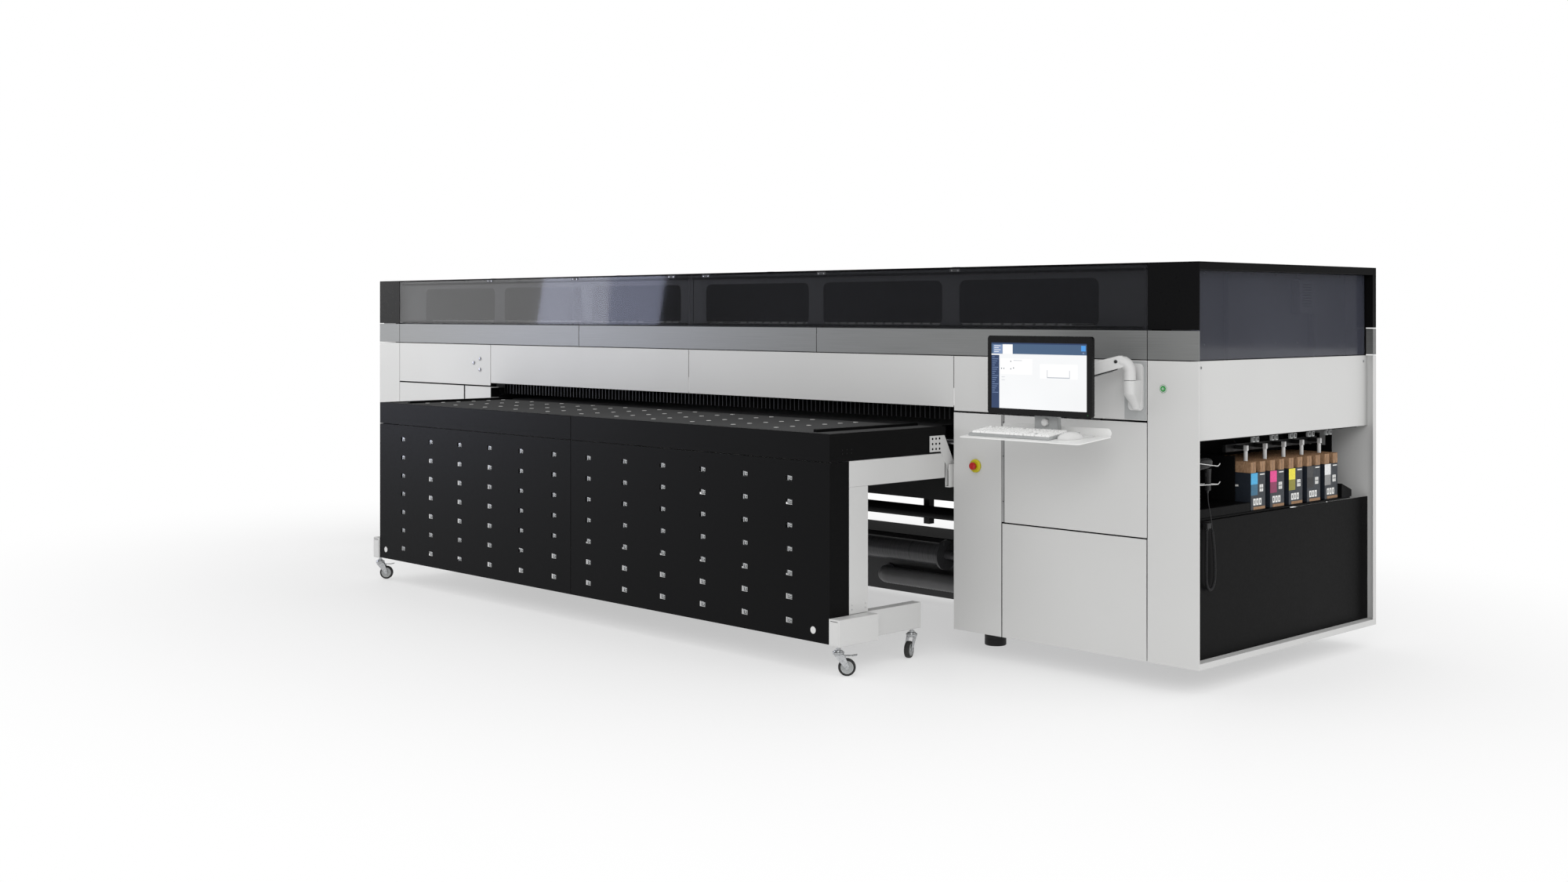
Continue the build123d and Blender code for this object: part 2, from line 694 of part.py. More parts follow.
def table_top():
    """Dark bed plate on its stiffening ribs."""
    out = [block(-1784, 1784, -754, TABLE_BACK, TABLE_Z - 9, TABLE_Z, edge=1)]
    for x in (-1500, -900, -300, 300, 900, 1500):
        out.append(block(x - 20, x + 20, -740, -40, 960, TABLE_Z - 9))
    return out


def table_panels():
    """Black apron and front sheets with punched pockets, and the side guides."""
    front, back = TABLE_FRONT, TABLE_BACK
    out = pair(1.5, TABLE_HALF, front, front + 4, LIP_LOW, LIP_TOP, edge=1)
    out += pair(TABLE_HALF - 4, TABLE_HALF, front + 4, back, LIP_LOW, LIP_TOP, edge=1)
    out.append(
        block(-TABLE_HALF + 4, TABLE_HALF - 4, front + 4, -756, TABLE_Z, LIP_TOP)
    )
    out += pair(TABLE_HALF - 20, TABLE_HALF - 4, -756, back, TABLE_Z, LIP_TOP)
    out += pair(1622, 1648, -690, -34, TABLE_Z, 1028, edge=2)
    out += pair(
        TABLE_HALF - 3, TABLE_HALF, front + 3, LEG_Y[0], PANEL_LOW, LIP_LOW - 3, edge=1
    )
    for side in (1, -1):
        sheet = block(
            side * 2, side * TABLE_HALF, front, front + 3, PANEL_LOW, LIP_LOW - 3
        )
        holes = [
            block(x - HOLE_W / 2, x + HOLE_W / 2, front - 1, front + 4, z - 12, z + 12)
            for x, z in hole_places()
            if x * side > 0
        ]
        out.append(sheet.cut(*holes))
    return out


def table_trim():
    """Glide buttons, pocket clips and the two round plugs."""
    out = []
    for col in range(GLIDE_COLS):
        for row in range(GLIDE_ROWS):
            x = GLIDE_PITCH_X * (col - (GLIDE_COLS - 1) / 2)
            y = GLIDE_FRONT_Y + GLIDE_PITCH_Y * row
            out.append(rod(x, y, TABLE_Z + 0.9, 7.5, 1.8))
    for x, z in hole_places():
        out.append(block(x - 6, x + 19, TABLE_FRONT + 4, TABLE_FRONT + 12, z - 11, z + 11))
    for x, z in ((1707.5, 179.0), (-1740.5, 180.0)):
        out.append(rod(x, TABLE_FRONT - 1, z, 15, 2, "y"))
    return out


def table_frame():
    """White legs, beams, foot beams with sleeves, and the docking straps."""
    inner, outer = TABLE_HALF - FRAME_W, TABLE_HALF
    out = pair(inner, outer, *LEG_Y, FOOT_Z[1], BEAM_Z[0], edge=2)
    out += pair(inner, outer, LEG_Y[0], -30, *BEAM_Z, edge=2)
    out += pair(inner, outer - 4, -772, -188, *FOOT_Z, edge=2)
    out += pair(outer, 1868, SLEEVE_FRONT, LEG_Y[1], 126, 240, edge=2)
    for y in (-640, -92):
        out.append(block(-inner, inner, y, y + 60, BEAM_Z[0], BEAM_Z[1], edge=2))
    strap = [(-136, 979), (-136, 907), (-62, 907), (2, 800), (30, 800), (30, 850), (-38, 979)]
    for x in (outer, -outer - 4):
        plate = yz_plate(strap, x, x + 4)
        for y in (-120, -96, -72):
            for z in (920, 943, 966):
                plate -= rod(x + 2, y, z, 3, 10, "x")
        out.append(plate)
    return out


def caster_fork(name):
    """Stem, swivel housing, two fork legs, the axle bolt and the brake's pin."""
    x, y, angle, braked = CASTERS[name]
    out = [Cylinder(8, 15).moved(Location((0, 0, 118.5)))]
    out.append(chamfer(Cylinder(19, 13).edges(), 1.5).moved(Location((0, 0, 104.5))))
    out.append(chamfer(Cylinder(24, 8).edges(), 2).moved(Location((0, 0, 94))))
    leg = [(-18, 92), (20, 92), (TRAIL + 9, 44), (TRAIL + 7, 29), (TRAIL - 7, 29), (-14, 76)]
    for side in (-1, 1):
        plate = extrude(Plane.XZ * Polygon(*leg, align=None), amount=2.5, dir=(0, 1, 0))
        out.append(plate.moved(Location((0, side * 15.5 - 1.25, 0))))
    out.append(rod(TRAIL, 0, WHEEL_R, AXLE_R, 38, "y"))
    if braked:
        out.append(rod(BRAKE_AT[0], 0, BRAKE_AT[1], BRAKE_PIN, 34, "y"))
    body = out[0].fuse(*out[1:])
    return [body.moved(Location((x, y, 0), (0, 0, angle)))]


def caster_wheel(name):
    """Rubber tyre on a grey hub that turns on the axle bolt."""
    x, y, angle, _ = CASTERS[name]
    tyre = ring(0, 0, 0, WHEEL_R, 27.05, WHEEL_W)
    tyre = chamfer(tyre.edges().group_by(SortBy.LENGTH)[-1], 4)
    hub = ring(0, 0, 0, 27, AXLE_R + BEARING_GAP, WHEEL_W + 3)
    place = Location((x, y, 0), (0, 0, angle)) * Location((TRAIL, 0, WHEEL_R), (90, 0, 0))
    return [tyre.moved(place), hub.moved(place)]


def caster_brake(name):
    """Foot lever that presses on the tyre."""
    x, y, angle, _ = CASTERS[name]
    t, z = BRAKE_AT
    lever = block(t, 64, -11, 11, z - 2, z + 2) + rod(t, 0, z, 3, 22, "y")
    lever += block(62, 80, -14, 14, z - 2, z + 4, edge=2)
    lever -= rod(t, 0, z, BRAKE_PIN + BEARING_GAP, 40, "y")
    return [lever.moved(Location((x, y, 0), (0, 0, angle)))]


# ================= write every sub-part =================

save("base_frame", base_frame())
save("levelling_feet", levelling_feet())
save("corner_columns", corner_columns())
save("front_panels", front_panels())
save("grey_band", grey_band())
save("upper_frame", upper_frame())
save("side_windows", side_windows())
save("window_frames", window_frames())
save("rear_panels", rear_panels())
save("liner_panels", liner_panels())
save("control_bezels", control_bezels())
save("hood_left", hood(-1))
save("hood_right", hood(1))
save("service_door", service_door())
save("emergency_stop_button", emergency_stop())
save("start_button", [rod(START_X, -4.4, START_Z, START_R, 3.8, "y")])

save("gantry_beam", gantry_beam())
save("print_carriage", print_carriage())
save("carriage_heads", carriage_heads())
save("cable_chain", cable_chain())
save("maintenance_station", maintenance_station())

save("vacuum_bed", vacuum_bed())
save("transport_belt", transport_belt())
save("idler_roller", roller(ROLLER_Y[0], ROLLER_Z, ROLLER_R, BELT_HALF, 15))
save("drive_roller", roller(ROLLER_Y[1], ROLLER_Z, ROLLER_R, BELT_HALF, 15))
save("slot_comb", slot_comb())
save("guide_roller", roller(GUIDE_Y, GUIDE_Z, GUIDE_R, 1790, 10))
save("winder_housing", winder_housing())
save("media_roll", media_roll())

save("ink_tray", ink_tray())
save("ink_connectors", ink_connectors())
for number, colour in enumerate(CARTONS):
    save(f"ink_carton_{colour}", ink_carton(number))

save("scanner_dock", scanner_dock())
save("barcode_scanner", barcode_scanner())
for cord_name, route, thickness in (
    ("scanner_lead", LEAD, LEAD_R),
    ("scanner_curl", CURL, CURL_R),
):
    corner_radii = arc_radii(route)
    print(cord_name, "corner radii", [round(r, 1) for r in corner_radii])
    cord = tube(route, thickness, corner_radii)
    save(cord_name, [cord])

save("arm_mount", arm_mount())
save("arm_link", arm_link())
save("head_bracket", head_bracket())
save("monitor", monitor())
save("keyboard_tray", keyboard_tray())
save("keyboard", keyboard())

save("table_top", table_top())
save("table_panels", table_panels())
save("table_trim", table_trim())
save("table_frame", table_frame())
for corner, (_, _, _, braked) in CASTERS.items():
    save(f"caster_fork_{corner}", caster_fork(corner))
    save(f"caster_wheel_{corner}", caster_wheel(corner))
    if braked:
        save(f"caster_brake_{corner}", caster_brake(corner))
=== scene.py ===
import json
import math
import bmesh
import bpy
from mathutils import Matrix, Vector


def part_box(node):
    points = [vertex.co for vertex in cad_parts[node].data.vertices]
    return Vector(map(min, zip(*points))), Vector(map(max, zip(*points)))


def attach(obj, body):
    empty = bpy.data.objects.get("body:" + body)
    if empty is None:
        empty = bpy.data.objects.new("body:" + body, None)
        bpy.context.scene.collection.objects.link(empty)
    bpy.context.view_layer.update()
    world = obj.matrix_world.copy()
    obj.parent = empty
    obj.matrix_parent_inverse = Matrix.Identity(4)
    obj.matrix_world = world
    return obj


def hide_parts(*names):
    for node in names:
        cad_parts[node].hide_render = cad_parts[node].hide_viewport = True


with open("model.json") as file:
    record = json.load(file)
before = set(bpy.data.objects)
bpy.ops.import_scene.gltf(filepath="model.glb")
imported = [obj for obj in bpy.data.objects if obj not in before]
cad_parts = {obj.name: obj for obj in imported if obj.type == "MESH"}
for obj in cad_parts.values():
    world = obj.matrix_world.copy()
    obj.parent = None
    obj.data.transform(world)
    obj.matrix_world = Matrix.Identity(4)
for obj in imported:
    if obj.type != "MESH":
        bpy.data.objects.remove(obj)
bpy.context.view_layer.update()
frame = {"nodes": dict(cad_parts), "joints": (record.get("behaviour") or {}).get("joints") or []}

# Wide-format flatbed UV printer. Shapes below are drawn in millimetres, with Y = 0 on the
# printer's front face as in the CAD source, and Part.finish moves them to the row frame.
MM = 0.001
FRONT_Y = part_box("grey_band")[0].y
NODES = frame["nodes"]
JOINTS = {j["name"]: j for j in frame["joints"]}


def to_mm(point):
    """A point of the row frame, in metres, as drawn: millimetres from the printer's front."""
    return Vector((point[0], point[1] - FRONT_Y, point[2])) / MM


def to_row(point):
    return Vector((point[0] * MM, point[1] * MM + FRONT_Y, point[2] * MM))


def limits(node):
    """Lowest and highest corner of a CAD node, in millimetres as drawn."""
    low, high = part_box(node)
    return to_mm(low), to_mm(high)


def middle(node):
    """Centre of a CAD node's box, in millimetres as drawn."""
    low, high = limits(node)
    return (low.x + high.x) / 2, (low.y + high.y) / 2, (low.z + high.z) / 2


def mirrored(side, a, b):
    """A pair of X limits on the given side of the middle, low first."""
    return sorted((side * a, side * b))


# ================= materials =================


class Shader:
    """A node material: named blocks that feed one Principled shader."""

    def __init__(self, name, **values):
        self.material = bpy.data.materials.new(name)
        self.material.use_nodes = True
        self.tree = self.material.node_tree
        self.bsdf = self.tree.nodes["Principled BSDF"]
        for socket, value in values.items():
            if socket == "Base_Color" and len(value) == 3:
                value = (*value, 1)
            self.bsdf.inputs[socket.replace("_", " ")].default_value = value
        self.place = self.node("ShaderNodeTexCoord").outputs["Object"]

    def node(self, kind, **settings):
        made = self.tree.nodes.new(kind)
        for key, value in settings.items():
            setattr(made, key, value)
        return made

    def join(self, source, target):
        self.tree.links.new(source, target)

    def noise(self, scale, stretch=(1, 1, 1), detail=3.0, roughness=0.5):
        """Noise with cells of about 1/scale metres, stretched along an axis."""
        mapping = self.node("ShaderNodeMapping")
        mapping.inputs["Scale"].default_value = stretch
        noise = self.node("ShaderNodeTexNoise")
        noise.inputs["Scale"].default_value = scale
        noise.inputs["Detail"].default_value = detail
        noise.inputs["Roughness"].default_value = roughness
        self.join(self.place, mapping.inputs["Vector"])
        self.join(mapping.outputs["Vector"], noise.inputs["Vector"])
        return noise.outputs["Fac"]

    def waves(self, scale, axis, distortion=0.0):
        wave = self.node("ShaderNodeTexWave", bands_direction=axis)
        wave.inputs["Scale"].default_value = scale
        wave.inputs["Distortion"].default_value = distortion
        self.join(self.place, wave.inputs["Vector"])
        return wave.outputs["Fac"]

    def colour(self, factor, dark, light, low=0.35, high=0.65):
        """Base colour that runs from dark to light with a texture."""
        ramp = self.node("ShaderNodeValToRGB")
        first, last = ramp.color_ramp.elements
        first.position, first.color = low, (*dark, 1)
        last.position, last.color = high, (*light, 1)
        self.join(factor, ramp.inputs["Fac"])
        self.join(ramp.outputs["Color"], self.bsdf.inputs["Base Color"])
        return self

    def gloss(self, factor, low, high):
        """Roughness that runs from low to high with a texture."""
        span = self.node("ShaderNodeMapRange")
        span.inputs["From Min"].default_value = 0.3
        span.inputs["From Max"].default_value = 0.7
        span.inputs["To Min"].default_value = low
        span.inputs["To Max"].default_value = high
        self.join(factor, span.inputs["Value"])
        self.join(span.outputs["Result"], self.bsdf.inputs["Roughness"])
        return self

    def bump(self, factor, depth_mm, strength=1.0):
        bump = self.node("ShaderNodeBump")
        bump.inputs["Distance"].default_value = depth_mm * MM
        bump.inputs["Strength"].default_value = strength
        self.join(factor, bump.inputs["Height"])
        self.join(bump.outputs["Normal"], self.bsdf.inputs["Normal"])
        return self


def shade(colour, factor):
    return tuple(c * factor for c in colour)


def powder_coat(name, colour, roughness, grain_mm=1.2, depth_mm=0.02, spread=0.05, shine=0.5):
    """Powder coat: orange peel, and a slow drift in tone and gloss over each sheet."""
    made = Shader(name, Base_Color=colour, Specular_IOR_Level=shine)
    drift = made.noise(1.3, detail=2)
    made.colour(drift, shade(colour, 1 - spread), shade(colour, 1 + spread))
    made.gloss(made.noise(90.0), roughness - 0.03, roughness + 0.04)
    made.bump(made.noise(1000 / grain_mm, detail=2), depth_mm)
    return made.material


def moulded(name, colour, roughness, grain_mm=0.5, depth_mm=0.012, spread=0.06, shine=0.5):
    """Moulded plastic with a fine spark-eroded texture."""
    made = Shader(name, Base_Color=colour, Specular_IOR_Level=shine)
    made.colour(made.noise(14.0), shade(colour, 1 - spread), shade(colour, 1 + spread))
    made.gloss(made.noise(40.0), roughness - 0.06, roughness + 0.08)
    made.bump(made.noise(1000 / grain_mm, detail=2), depth_mm)
    return made.material


def brushed(name, colour, roughness, stretch, metallic=1.0):
    """Metal with fine lines along one axis."""
    made = Shader(name, Base_Color=colour, Metallic=metallic)
    lines = made.noise(1.0, stretch=stretch, detail=4, roughness=0.6)
    made.colour(lines, shade(colour, 0.86), shade(colour, 1.08))
    made.gloss(lines, roughness - 0.08, roughness + 0.1)
    made.bump(lines, 0.01)
    return made.material


def smoked(name, tint, opacity, roughness=0.03):
    """Tinted acrylic: dark, see-through, with a hard clear surface."""
    made = Shader(name, Base_Color=tint, Alpha=opacity, Specular_IOR_Level=0.5)
    made.colour(made.noise(0.8), shade(tint, 0.85), shade(tint, 1.15))
    made.gloss(made.noise(3.0), roughness, roughness + 0.03)
    return made.material


def cardboard():
    made = Shader("cardboard")
    made.colour(made.noise(260.0, stretch=(1, 1, 0.25)), (0.22, 0.125, 0.065), (0.36, 0.215, 0.12))
    made.gloss(made.noise(60.0), 0.78, 0.92)
    made.bump(made.waves(70.0, "Y", 1.5), 0.12, 0.5)
    return made.material


def printed(name, colour):
    """Ink printed on board: faint flutes and fibres show through it."""
    made = Shader(name, Base_Color=colour, Coat_Weight=0.15, Coat_Roughness=0.3)
    made.colour(made.noise(220.0), shade(colour, 0.88), shade(colour, 1.08))
    made.gloss(made.noise(90.0), 0.4, 0.55)
    made.bump(made.waves(60.0, "Y", 1.0), 0.04, 0.4)
    return made.material


def glowing(name, colour, strength=1.0):
    """A lit screen area whose brightness drifts faintly."""
    made = Shader(name, Base_Color=shade(colour, 0.02), Roughness=0.25)
    made.bsdf.inputs["Emission Strength"].default_value = strength
    ramp = made.node("ShaderNodeValToRGB")
    first, last = ramp.color_ramp.elements
    first.position, first.color = 0.3, (*shade(colour, 0.93), 1)
    last.position, last.color = 0.7, (*colour, 1)
    made.join(made.noise(2.0), ramp.inputs["Fac"])
    made.join(ramp.outputs["Color"], made.bsdf.inputs["Emission Color"])
    return made.material


def zinc_plate():
    made = Shader("zinc_plate", Metallic=1.0)
    spangle = made.noise(120.0, detail=5, roughness=0.65)
    made.colour(spangle, (0.42, 0.43, 0.44), (0.66, 0.67, 0.68))
    made.gloss(spangle, 0.24, 0.42)
    made.bump(made.noise(700.0), 0.01)
    return made.material


def tyre_rubber():
    made = Shader("tyre_rubber", Base_Color=(0.012, 0.012, 0.012))
    made.colour(made.noise(90.0), (0.009, 0.009, 0.009), (0.02, 0.02, 0.019))
    made.gloss(made.noise(60.0), 0.55, 0.75)
    made.bump(made.noise(900.0), 0.05)
    return made.material


WHITE = powder_coat("white_powder_coat", (0.565, 0.565, 0.558), 0.42, spread=0.02)
TABLE_WHITE = powder_coat("table_white_coat", (0.565, 0.565, 0.56), 0.45, spread=0.03)
BLACK = powder_coat("black_powder_coat", (0.0042, 0.0042, 0.0044), 0.42, grain_mm=0.9, shine=0.05)
BLACK_GLOSS = powder_coat(
    "black_satin_coat", (0.004, 0.004, 0.0043), 0.3, depth_mm=0.008, shine=0.06,
)
DARK_SHEET = powder_coat("dark_grey_sheet", (0.062, 0.064, 0.072), 0.4, spread=0.12)
DARK_STEEL = powder_coat("black_steel_tube", (0.012, 0.012, 0.0125), 0.45, spread=0.15)
BED = powder_coat(
    "bed_hard_coat", (0.068, 0.0685, 0.069), 0.7, grain_mm=0.6, spread=0.06, shine=0.0,
)
BAND = brushed("grey_band_coat", (0.205, 0.209, 0.206), 0.4, (3, 3, 900), metallic=0.3)
HOOD_GLASS = smoked("smoked_acrylic", (0.015, 0.0155, 0.019), 0.4)
END_GLASS = smoked("smoked_end_acrylic", (0.06, 0.064, 0.085), 0.5)
ALUMINIUM = brushed("anodised_aluminium", (0.5, 0.51, 0.52), 0.34, (4, 600, 600))
RAIL_STEEL = brushed("ground_steel", (0.42, 0.42, 0.43), 0.22, (6, 500, 500))
ZINC = zinc_plate()
TYRE = tyre_rubber()
WHITE_PLASTIC = moulded("white_plastic", (0.6, 0.6, 0.595), 0.38, spread=0.02)
SEAL_GREY = moulded("seal_grey", (0.30, 0.30, 0.30), 0.6)
KEY_PLASTIC = moulded("key_plastic", (0.86, 0.86, 0.85), 0.45, spread=0.02)
TRAY_WHITE = powder_coat("tray_white_coat", (0.78, 0.78, 0.77), 0.4, spread=0.02)
GREY_PLASTIC = moulded("grey_plastic", (0.36, 0.37, 0.37), 0.42)
BLACK_PLASTIC = moulded("black_plastic", (0.009, 0.009, 0.0094), 0.4, shine=0.35)
BEZEL = moulded("monitor_bezel", (0.004, 0.004, 0.0043), 0.28, depth_mm=0.004, shine=0.2)
RED = moulded("red_gloss", (0.40, 0.008, 0.008), 0.25, depth_mm=0.003)
YELLOW = moulded("yellow_gloss", (0.50, 0.44, 0.008), 0.32, depth_mm=0.003)
GREEN = moulded("green_lens", (0.04, 0.30, 0.07), 0.25, depth_mm=0.003)
BELT = moulded("belt_weave", (0.02, 0.02, 0.021), 0.6, grain_mm=1.6, depth_mm=0.1)
FILM = brushed("film_winding", (0.05, 0.05, 0.053), 0.3, (900, 2, 2), metallic=0.0)
GLIDE = moulded("pale_glide", (0.5, 0.5, 0.49), 0.4)
WINDER = powder_coat("winder_grey_coat", (0.02, 0.02, 0.021), 0.4, spread=0.15)
HOSE = moulded("hose_rubber", (0.10, 0.10, 0.102), 0.4)
CORD = moulded("cord_jacket", (0.011, 0.011, 0.012), 0.42)
BOARD = cardboard()
NAVY = printed("navy_print", (0.012, 0.017, 0.026))
LABEL_WHITE = printed("white_print", (0.72, 0.72, 0.7))
INKS = {
    "cyan": (0.045, 0.36, 0.64),
    "magenta": (0.70, 0.04, 0.24),
    "yellow": (0.74, 0.66, 0.03),
    "black": (0.03, 0.03, 0.032),
    "white": (0.70, 0.70, 0.70),
}


# ================= shape building =================

SHARP_DEGREES = 50  # edges sharper than this stay crisp
FORWARD = (0, -1, 0)  # out of the printer's front face
PATH_RESOLUTION = 12


class Part:
    """One visible piece: shapes drawn in millimetres, each with its own material."""

    def __init__(self, name):
        self.name = name
        self.mesh = bmesh.new()
        self.materials = []

    def take(self, shape, material, turn=None):
        """Adds a finished shape, turned if asked, with its material."""
        if material not in self.materials:
            self.materials.append(material)
        if turn is not None:
            bmesh.ops.transform(shape, matrix=turn, verts=shape.verts)
        bmesh.ops.recalc_face_normals(shape, faces=shape.faces)
        for face in shape.faces:
            face.material_index = self.materials.index(material)
            face.smooth = True
        mesh = bpy.data.meshes.new("shape")
        shape.to_mesh(mesh)
        shape.free()
        self.mesh.from_mesh(mesh)
        bpy.data.meshes.remove(mesh)
        return self

    def box(self, x, y, z, material, edge=0.8, turn=None):
        """A box between pairs of limits, with rounded edges."""
        shape = bmesh.new()
        bmesh.ops.create_cube(shape, size=1)
        for vert in shape.verts:
            for axis, (low, high) in enumerate((x, y, z)):
                vert.co[axis] = high if vert.co[axis] > 0 else low
        smallest = min(abs(high - low) for low, high in (x, y, z))
        if edge:
            bmesh.ops.bevel(
                shape, geom=shape.edges[:], offset=min(edge, smallest * 0.42), segments=2,
                profile=0.5, affect="EDGES", clamp_overlap=True,
            )
        return self.take(shape, material, turn)

    def prism(self, outline, axis, low, high, material, edge=0.6, turn=None):
        """An outline of (a, b) points drawn out along one axis, with rounded rims."""
        order = {"x": (2, 0, 1), "y": (0, 2, 1), "z": (0, 1, 2)}[axis]
        shape = bmesh.new()
        rims = []
        for level in (low, high):
            rims.append([])
            for a, b in outline:
                point = (a, b, level)
                rims[-1].append(shape.verts.new([point[i] for i in order]))
        count = len(outline)
        for i in range(count):
            j = (i + 1) % count
            shape.faces.new((rims[0][i], rims[0][j], rims[1][j], rims[1][i]))
        caps = [shape.faces.new(rims[0][::-1]), shape.faces.new(rims[1])]
        if edge:
            edges = [e for cap in caps for e in cap.edges]
            bmesh.ops.bevel(
                shape, geom=edges, offset=min(edge, abs(high - low) * 0.4), segments=2,
                profile=0.5, affect="EDGES", clamp_overlap=True,
            )
        return self.take(shape, material, turn)

    def turned(self, profile, place, axis, material, steps=40, turn=None):
        """A profile of (radius, height) points spun about an axis through a point."""
        shape = bmesh.new()
        rings = []
        for radius, height in profile:
            if radius < 1e-6:
                rings.append([shape.verts.new((0, 0, height))])
                continue
            rings.append([
                shape.verts.new((
                    radius * math.cos(2 * math.pi * i / steps),
                    radius * math.sin(2 * math.pi * i / steps),
                    height,
                ))
                for i in range(steps)
            ])
        for a, b in zip(rings, rings[1:]):
            for i in range(steps):
                j = (i + 1) % steps
                corners = [a[i % len(a)], a[j % len(a)], b[j % len(b)], b[i % len(b)]]
                unique = list(dict.fromkeys(corners))
                if len(unique) > 2:
                    shape.faces.new(unique)
        direction = {"x": Vector((1, 0, 0)), "y": Vector((0, 1, 0)), "z": Vector((0, 0, 1))}
        aim = direction[axis] if isinstance(axis, str) else Vector(axis)
        spin = Vector((0, 0, 1)).rotation_difference(aim).to_matrix().to_4x4()
        moved = Matrix.Translation(Vector(place)) @ spin
        return self.take(shape, material, moved if turn is None else turn @ moved)

    def disc(self, place, radius, length, axis, material, edge=0.6, steps=32, turn=None):
        """A short round bar, closed, with rounded rims, centred on a point."""
        h, e = length / 2, min(edge, length * 0.4, radius * 0.4)
        profile = [(0, -h), (radius - e, -h), (radius - 0.3 * e, -h + 0.3 * e), (radius, -h + e)]
        profile += [(r, -z) for r, z in reversed(profile)]
        return self.turned(profile, place, axis, material, steps, turn)

    def loft(self, sections, material, turn=None):
        """Skin over rings of points that all have the same count."""
        shape = bmesh.new()
        rings = [[shape.verts.new(p) for p in ring] for ring in sections]
        count = len(rings[0])
        for a, b in zip(rings, rings[1:]):
            for i in range(count):
                j = (i + 1) % count
                shape.faces.new((a[i], a[j], b[j], b[i]))
        shape.faces.new(rings[0][::-1])
        shape.faces.new(rings[-1])
        return self.take(shape, material, turn)

    def rope(self, points, radius, material, sides=10, turn=None):
        """A round bar along a list of points."""
        points = [Vector(p) for p in points]
        sections = []
        across = None
        for i, point in enumerate(points):
            ahead = points[min(i + 1, len(points) - 1)] - points[max(i - 1, 0)]
            ahead.normalize()
            if across is None:
                across = ahead.orthogonal().normalized()
            across = (across - ahead * across.dot(ahead)).normalized()
            other = ahead.cross(across)
            size = radius[i] if isinstance(radius, (list, tuple)) else radius
            sections.append([
                point + size * (math.cos(2 * math.pi * k / sides) * across
                                + math.sin(2 * math.pi * k / sides) * other)
                for k in range(sides)
            ])
        return self.loft(sections, material, turn)

    def finish(self, body, slot, *replaced):
        mesh = bpy.data.meshes.new(self.name)
        bmesh.ops.scale(self.mesh, vec=(MM, MM, MM), verts=self.mesh.verts)
        bmesh.ops.translate(self.mesh, vec=(0, FRONT_Y, 0), verts=self.mesh.verts)
        self.mesh.to_mesh(mesh)
        self.mesh.free()
        for material in self.materials:
            mesh.materials.append(material)
        mesh.set_sharp_from_angle(angle=math.radians(SHARP_DEGREES))
        made = bpy.data.objects.new(self.name, mesh)
        bpy.context.scene.collection.objects.link(made)
        weighted = made.modifiers.new("weighted", "WEIGHTED_NORMAL")
        weighted.keep_sharp = True
        weighted.weight = 100
        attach(made, body)
        if replaced:
            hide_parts(*replaced)
        return made


def rounded(x0, x1, z0, z1, radius, steps=6):
    """Outline of a rectangle with round corners, anticlockwise."""
    points = []
    corners = ((x1, z0, -90), (x1, z1, 0), (x0, z1, 90), (x0, z0, 180))
    for x, z, start in corners:
        cx = x - radius if x == x1 else x + radius
        cz = z - radius if z == z1 else z + radius
        for i in range(steps + 1):
            angle = math.radians(start + 90 * i / steps)
            points.append((cx + radius * math.cos(angle), cz + radius * math.sin(angle)))
    return points


def about_z(x, y, degrees):
    """Turn about an upright axis through a point, for shapes drawn from that point."""
    return Matrix.Translation(Vector((x, y, 0))) @ Matrix.Rotation(math.radians(degrees), 4, "Z")


def about_y(x, z, angle):
    """Turn in radians about an axis along Y through a point, for shapes drawn from it."""
    return Matrix.Translation(Vector((x, 0, z))) @ Matrix.Rotation(angle, 4, "Y")


def nurbs(name, points, resolution):
    """A third-order NURBS curve that starts and ends on its outer control points."""
    curve = bpy.data.curves.new(name, "CURVE")
    curve.dimensions = "3D"
    spline = curve.splines.new("NURBS")
    spline.points.add(len(points) - 1)
    for target, point in zip(spline.points, points):
        target.co = (*point, 1)
    spline.order_u = 3
    spline.use_endpoint_u = True
    curve.resolution_u = resolution
    return curve


def smooth_path(points):
    """Points along a NURBS curve that follows the given control points."""
    curve = nurbs("route", points, PATH_RESOLUTION)
    holder = bpy.data.objects.new("route", curve)
    mesh = bpy.data.meshes.new_from_object(holder)
    line = [v.co.copy() for v in mesh.vertices]
    bpy.data.objects.remove(holder)
    bpy.data.curves.remove(curve)
    bpy.data.meshes.remove(mesh)
    return line


# ================= camera, light and floor =================

CAMERA_PLACE = (6.8729, -6.2987, 1.535)
CAMERA_TURN = 45.93  # degrees that the view is turned from +Y towards -X
CAMERA_LENS = 39.33
CAMERA_SHIFT = -0.0821
ROOM_LIGHT = 1.0
ROOM_IN_REFLECTIONS = 0.25


def camera():
    data = bpy.data.cameras.new("camera")
    data.lens, data.sensor_width = CAMERA_LENS, 36.0
    data.shift_y = CAMERA_SHIFT
    data.clip_end = 200
    made = bpy.data.objects.new("camera", data)
    made.location = CAMERA_PLACE
    made.rotation_euler = (math.radians(90), 0, math.radians(CAMERA_TURN))
    bpy.context.scene.collection.objects.link(made)
    bpy.context.scene.camera = made


def area_light(name, place, aim, width, height, power):
    data = bpy.data.lights.new(name, "AREA")
    data.shape, data.size, data.size_y, data.energy = "RECTANGLE", width, height, power
    made = bpy.data.objects.new(name, data)
    made.location = place
    made.rotation_euler = (Vector(aim) - Vector(place)).to_track_quat("-Z", "Y").to_euler()
    made.visible_camera = False
    bpy.context.scene.collection.objects.link(made)
    return made


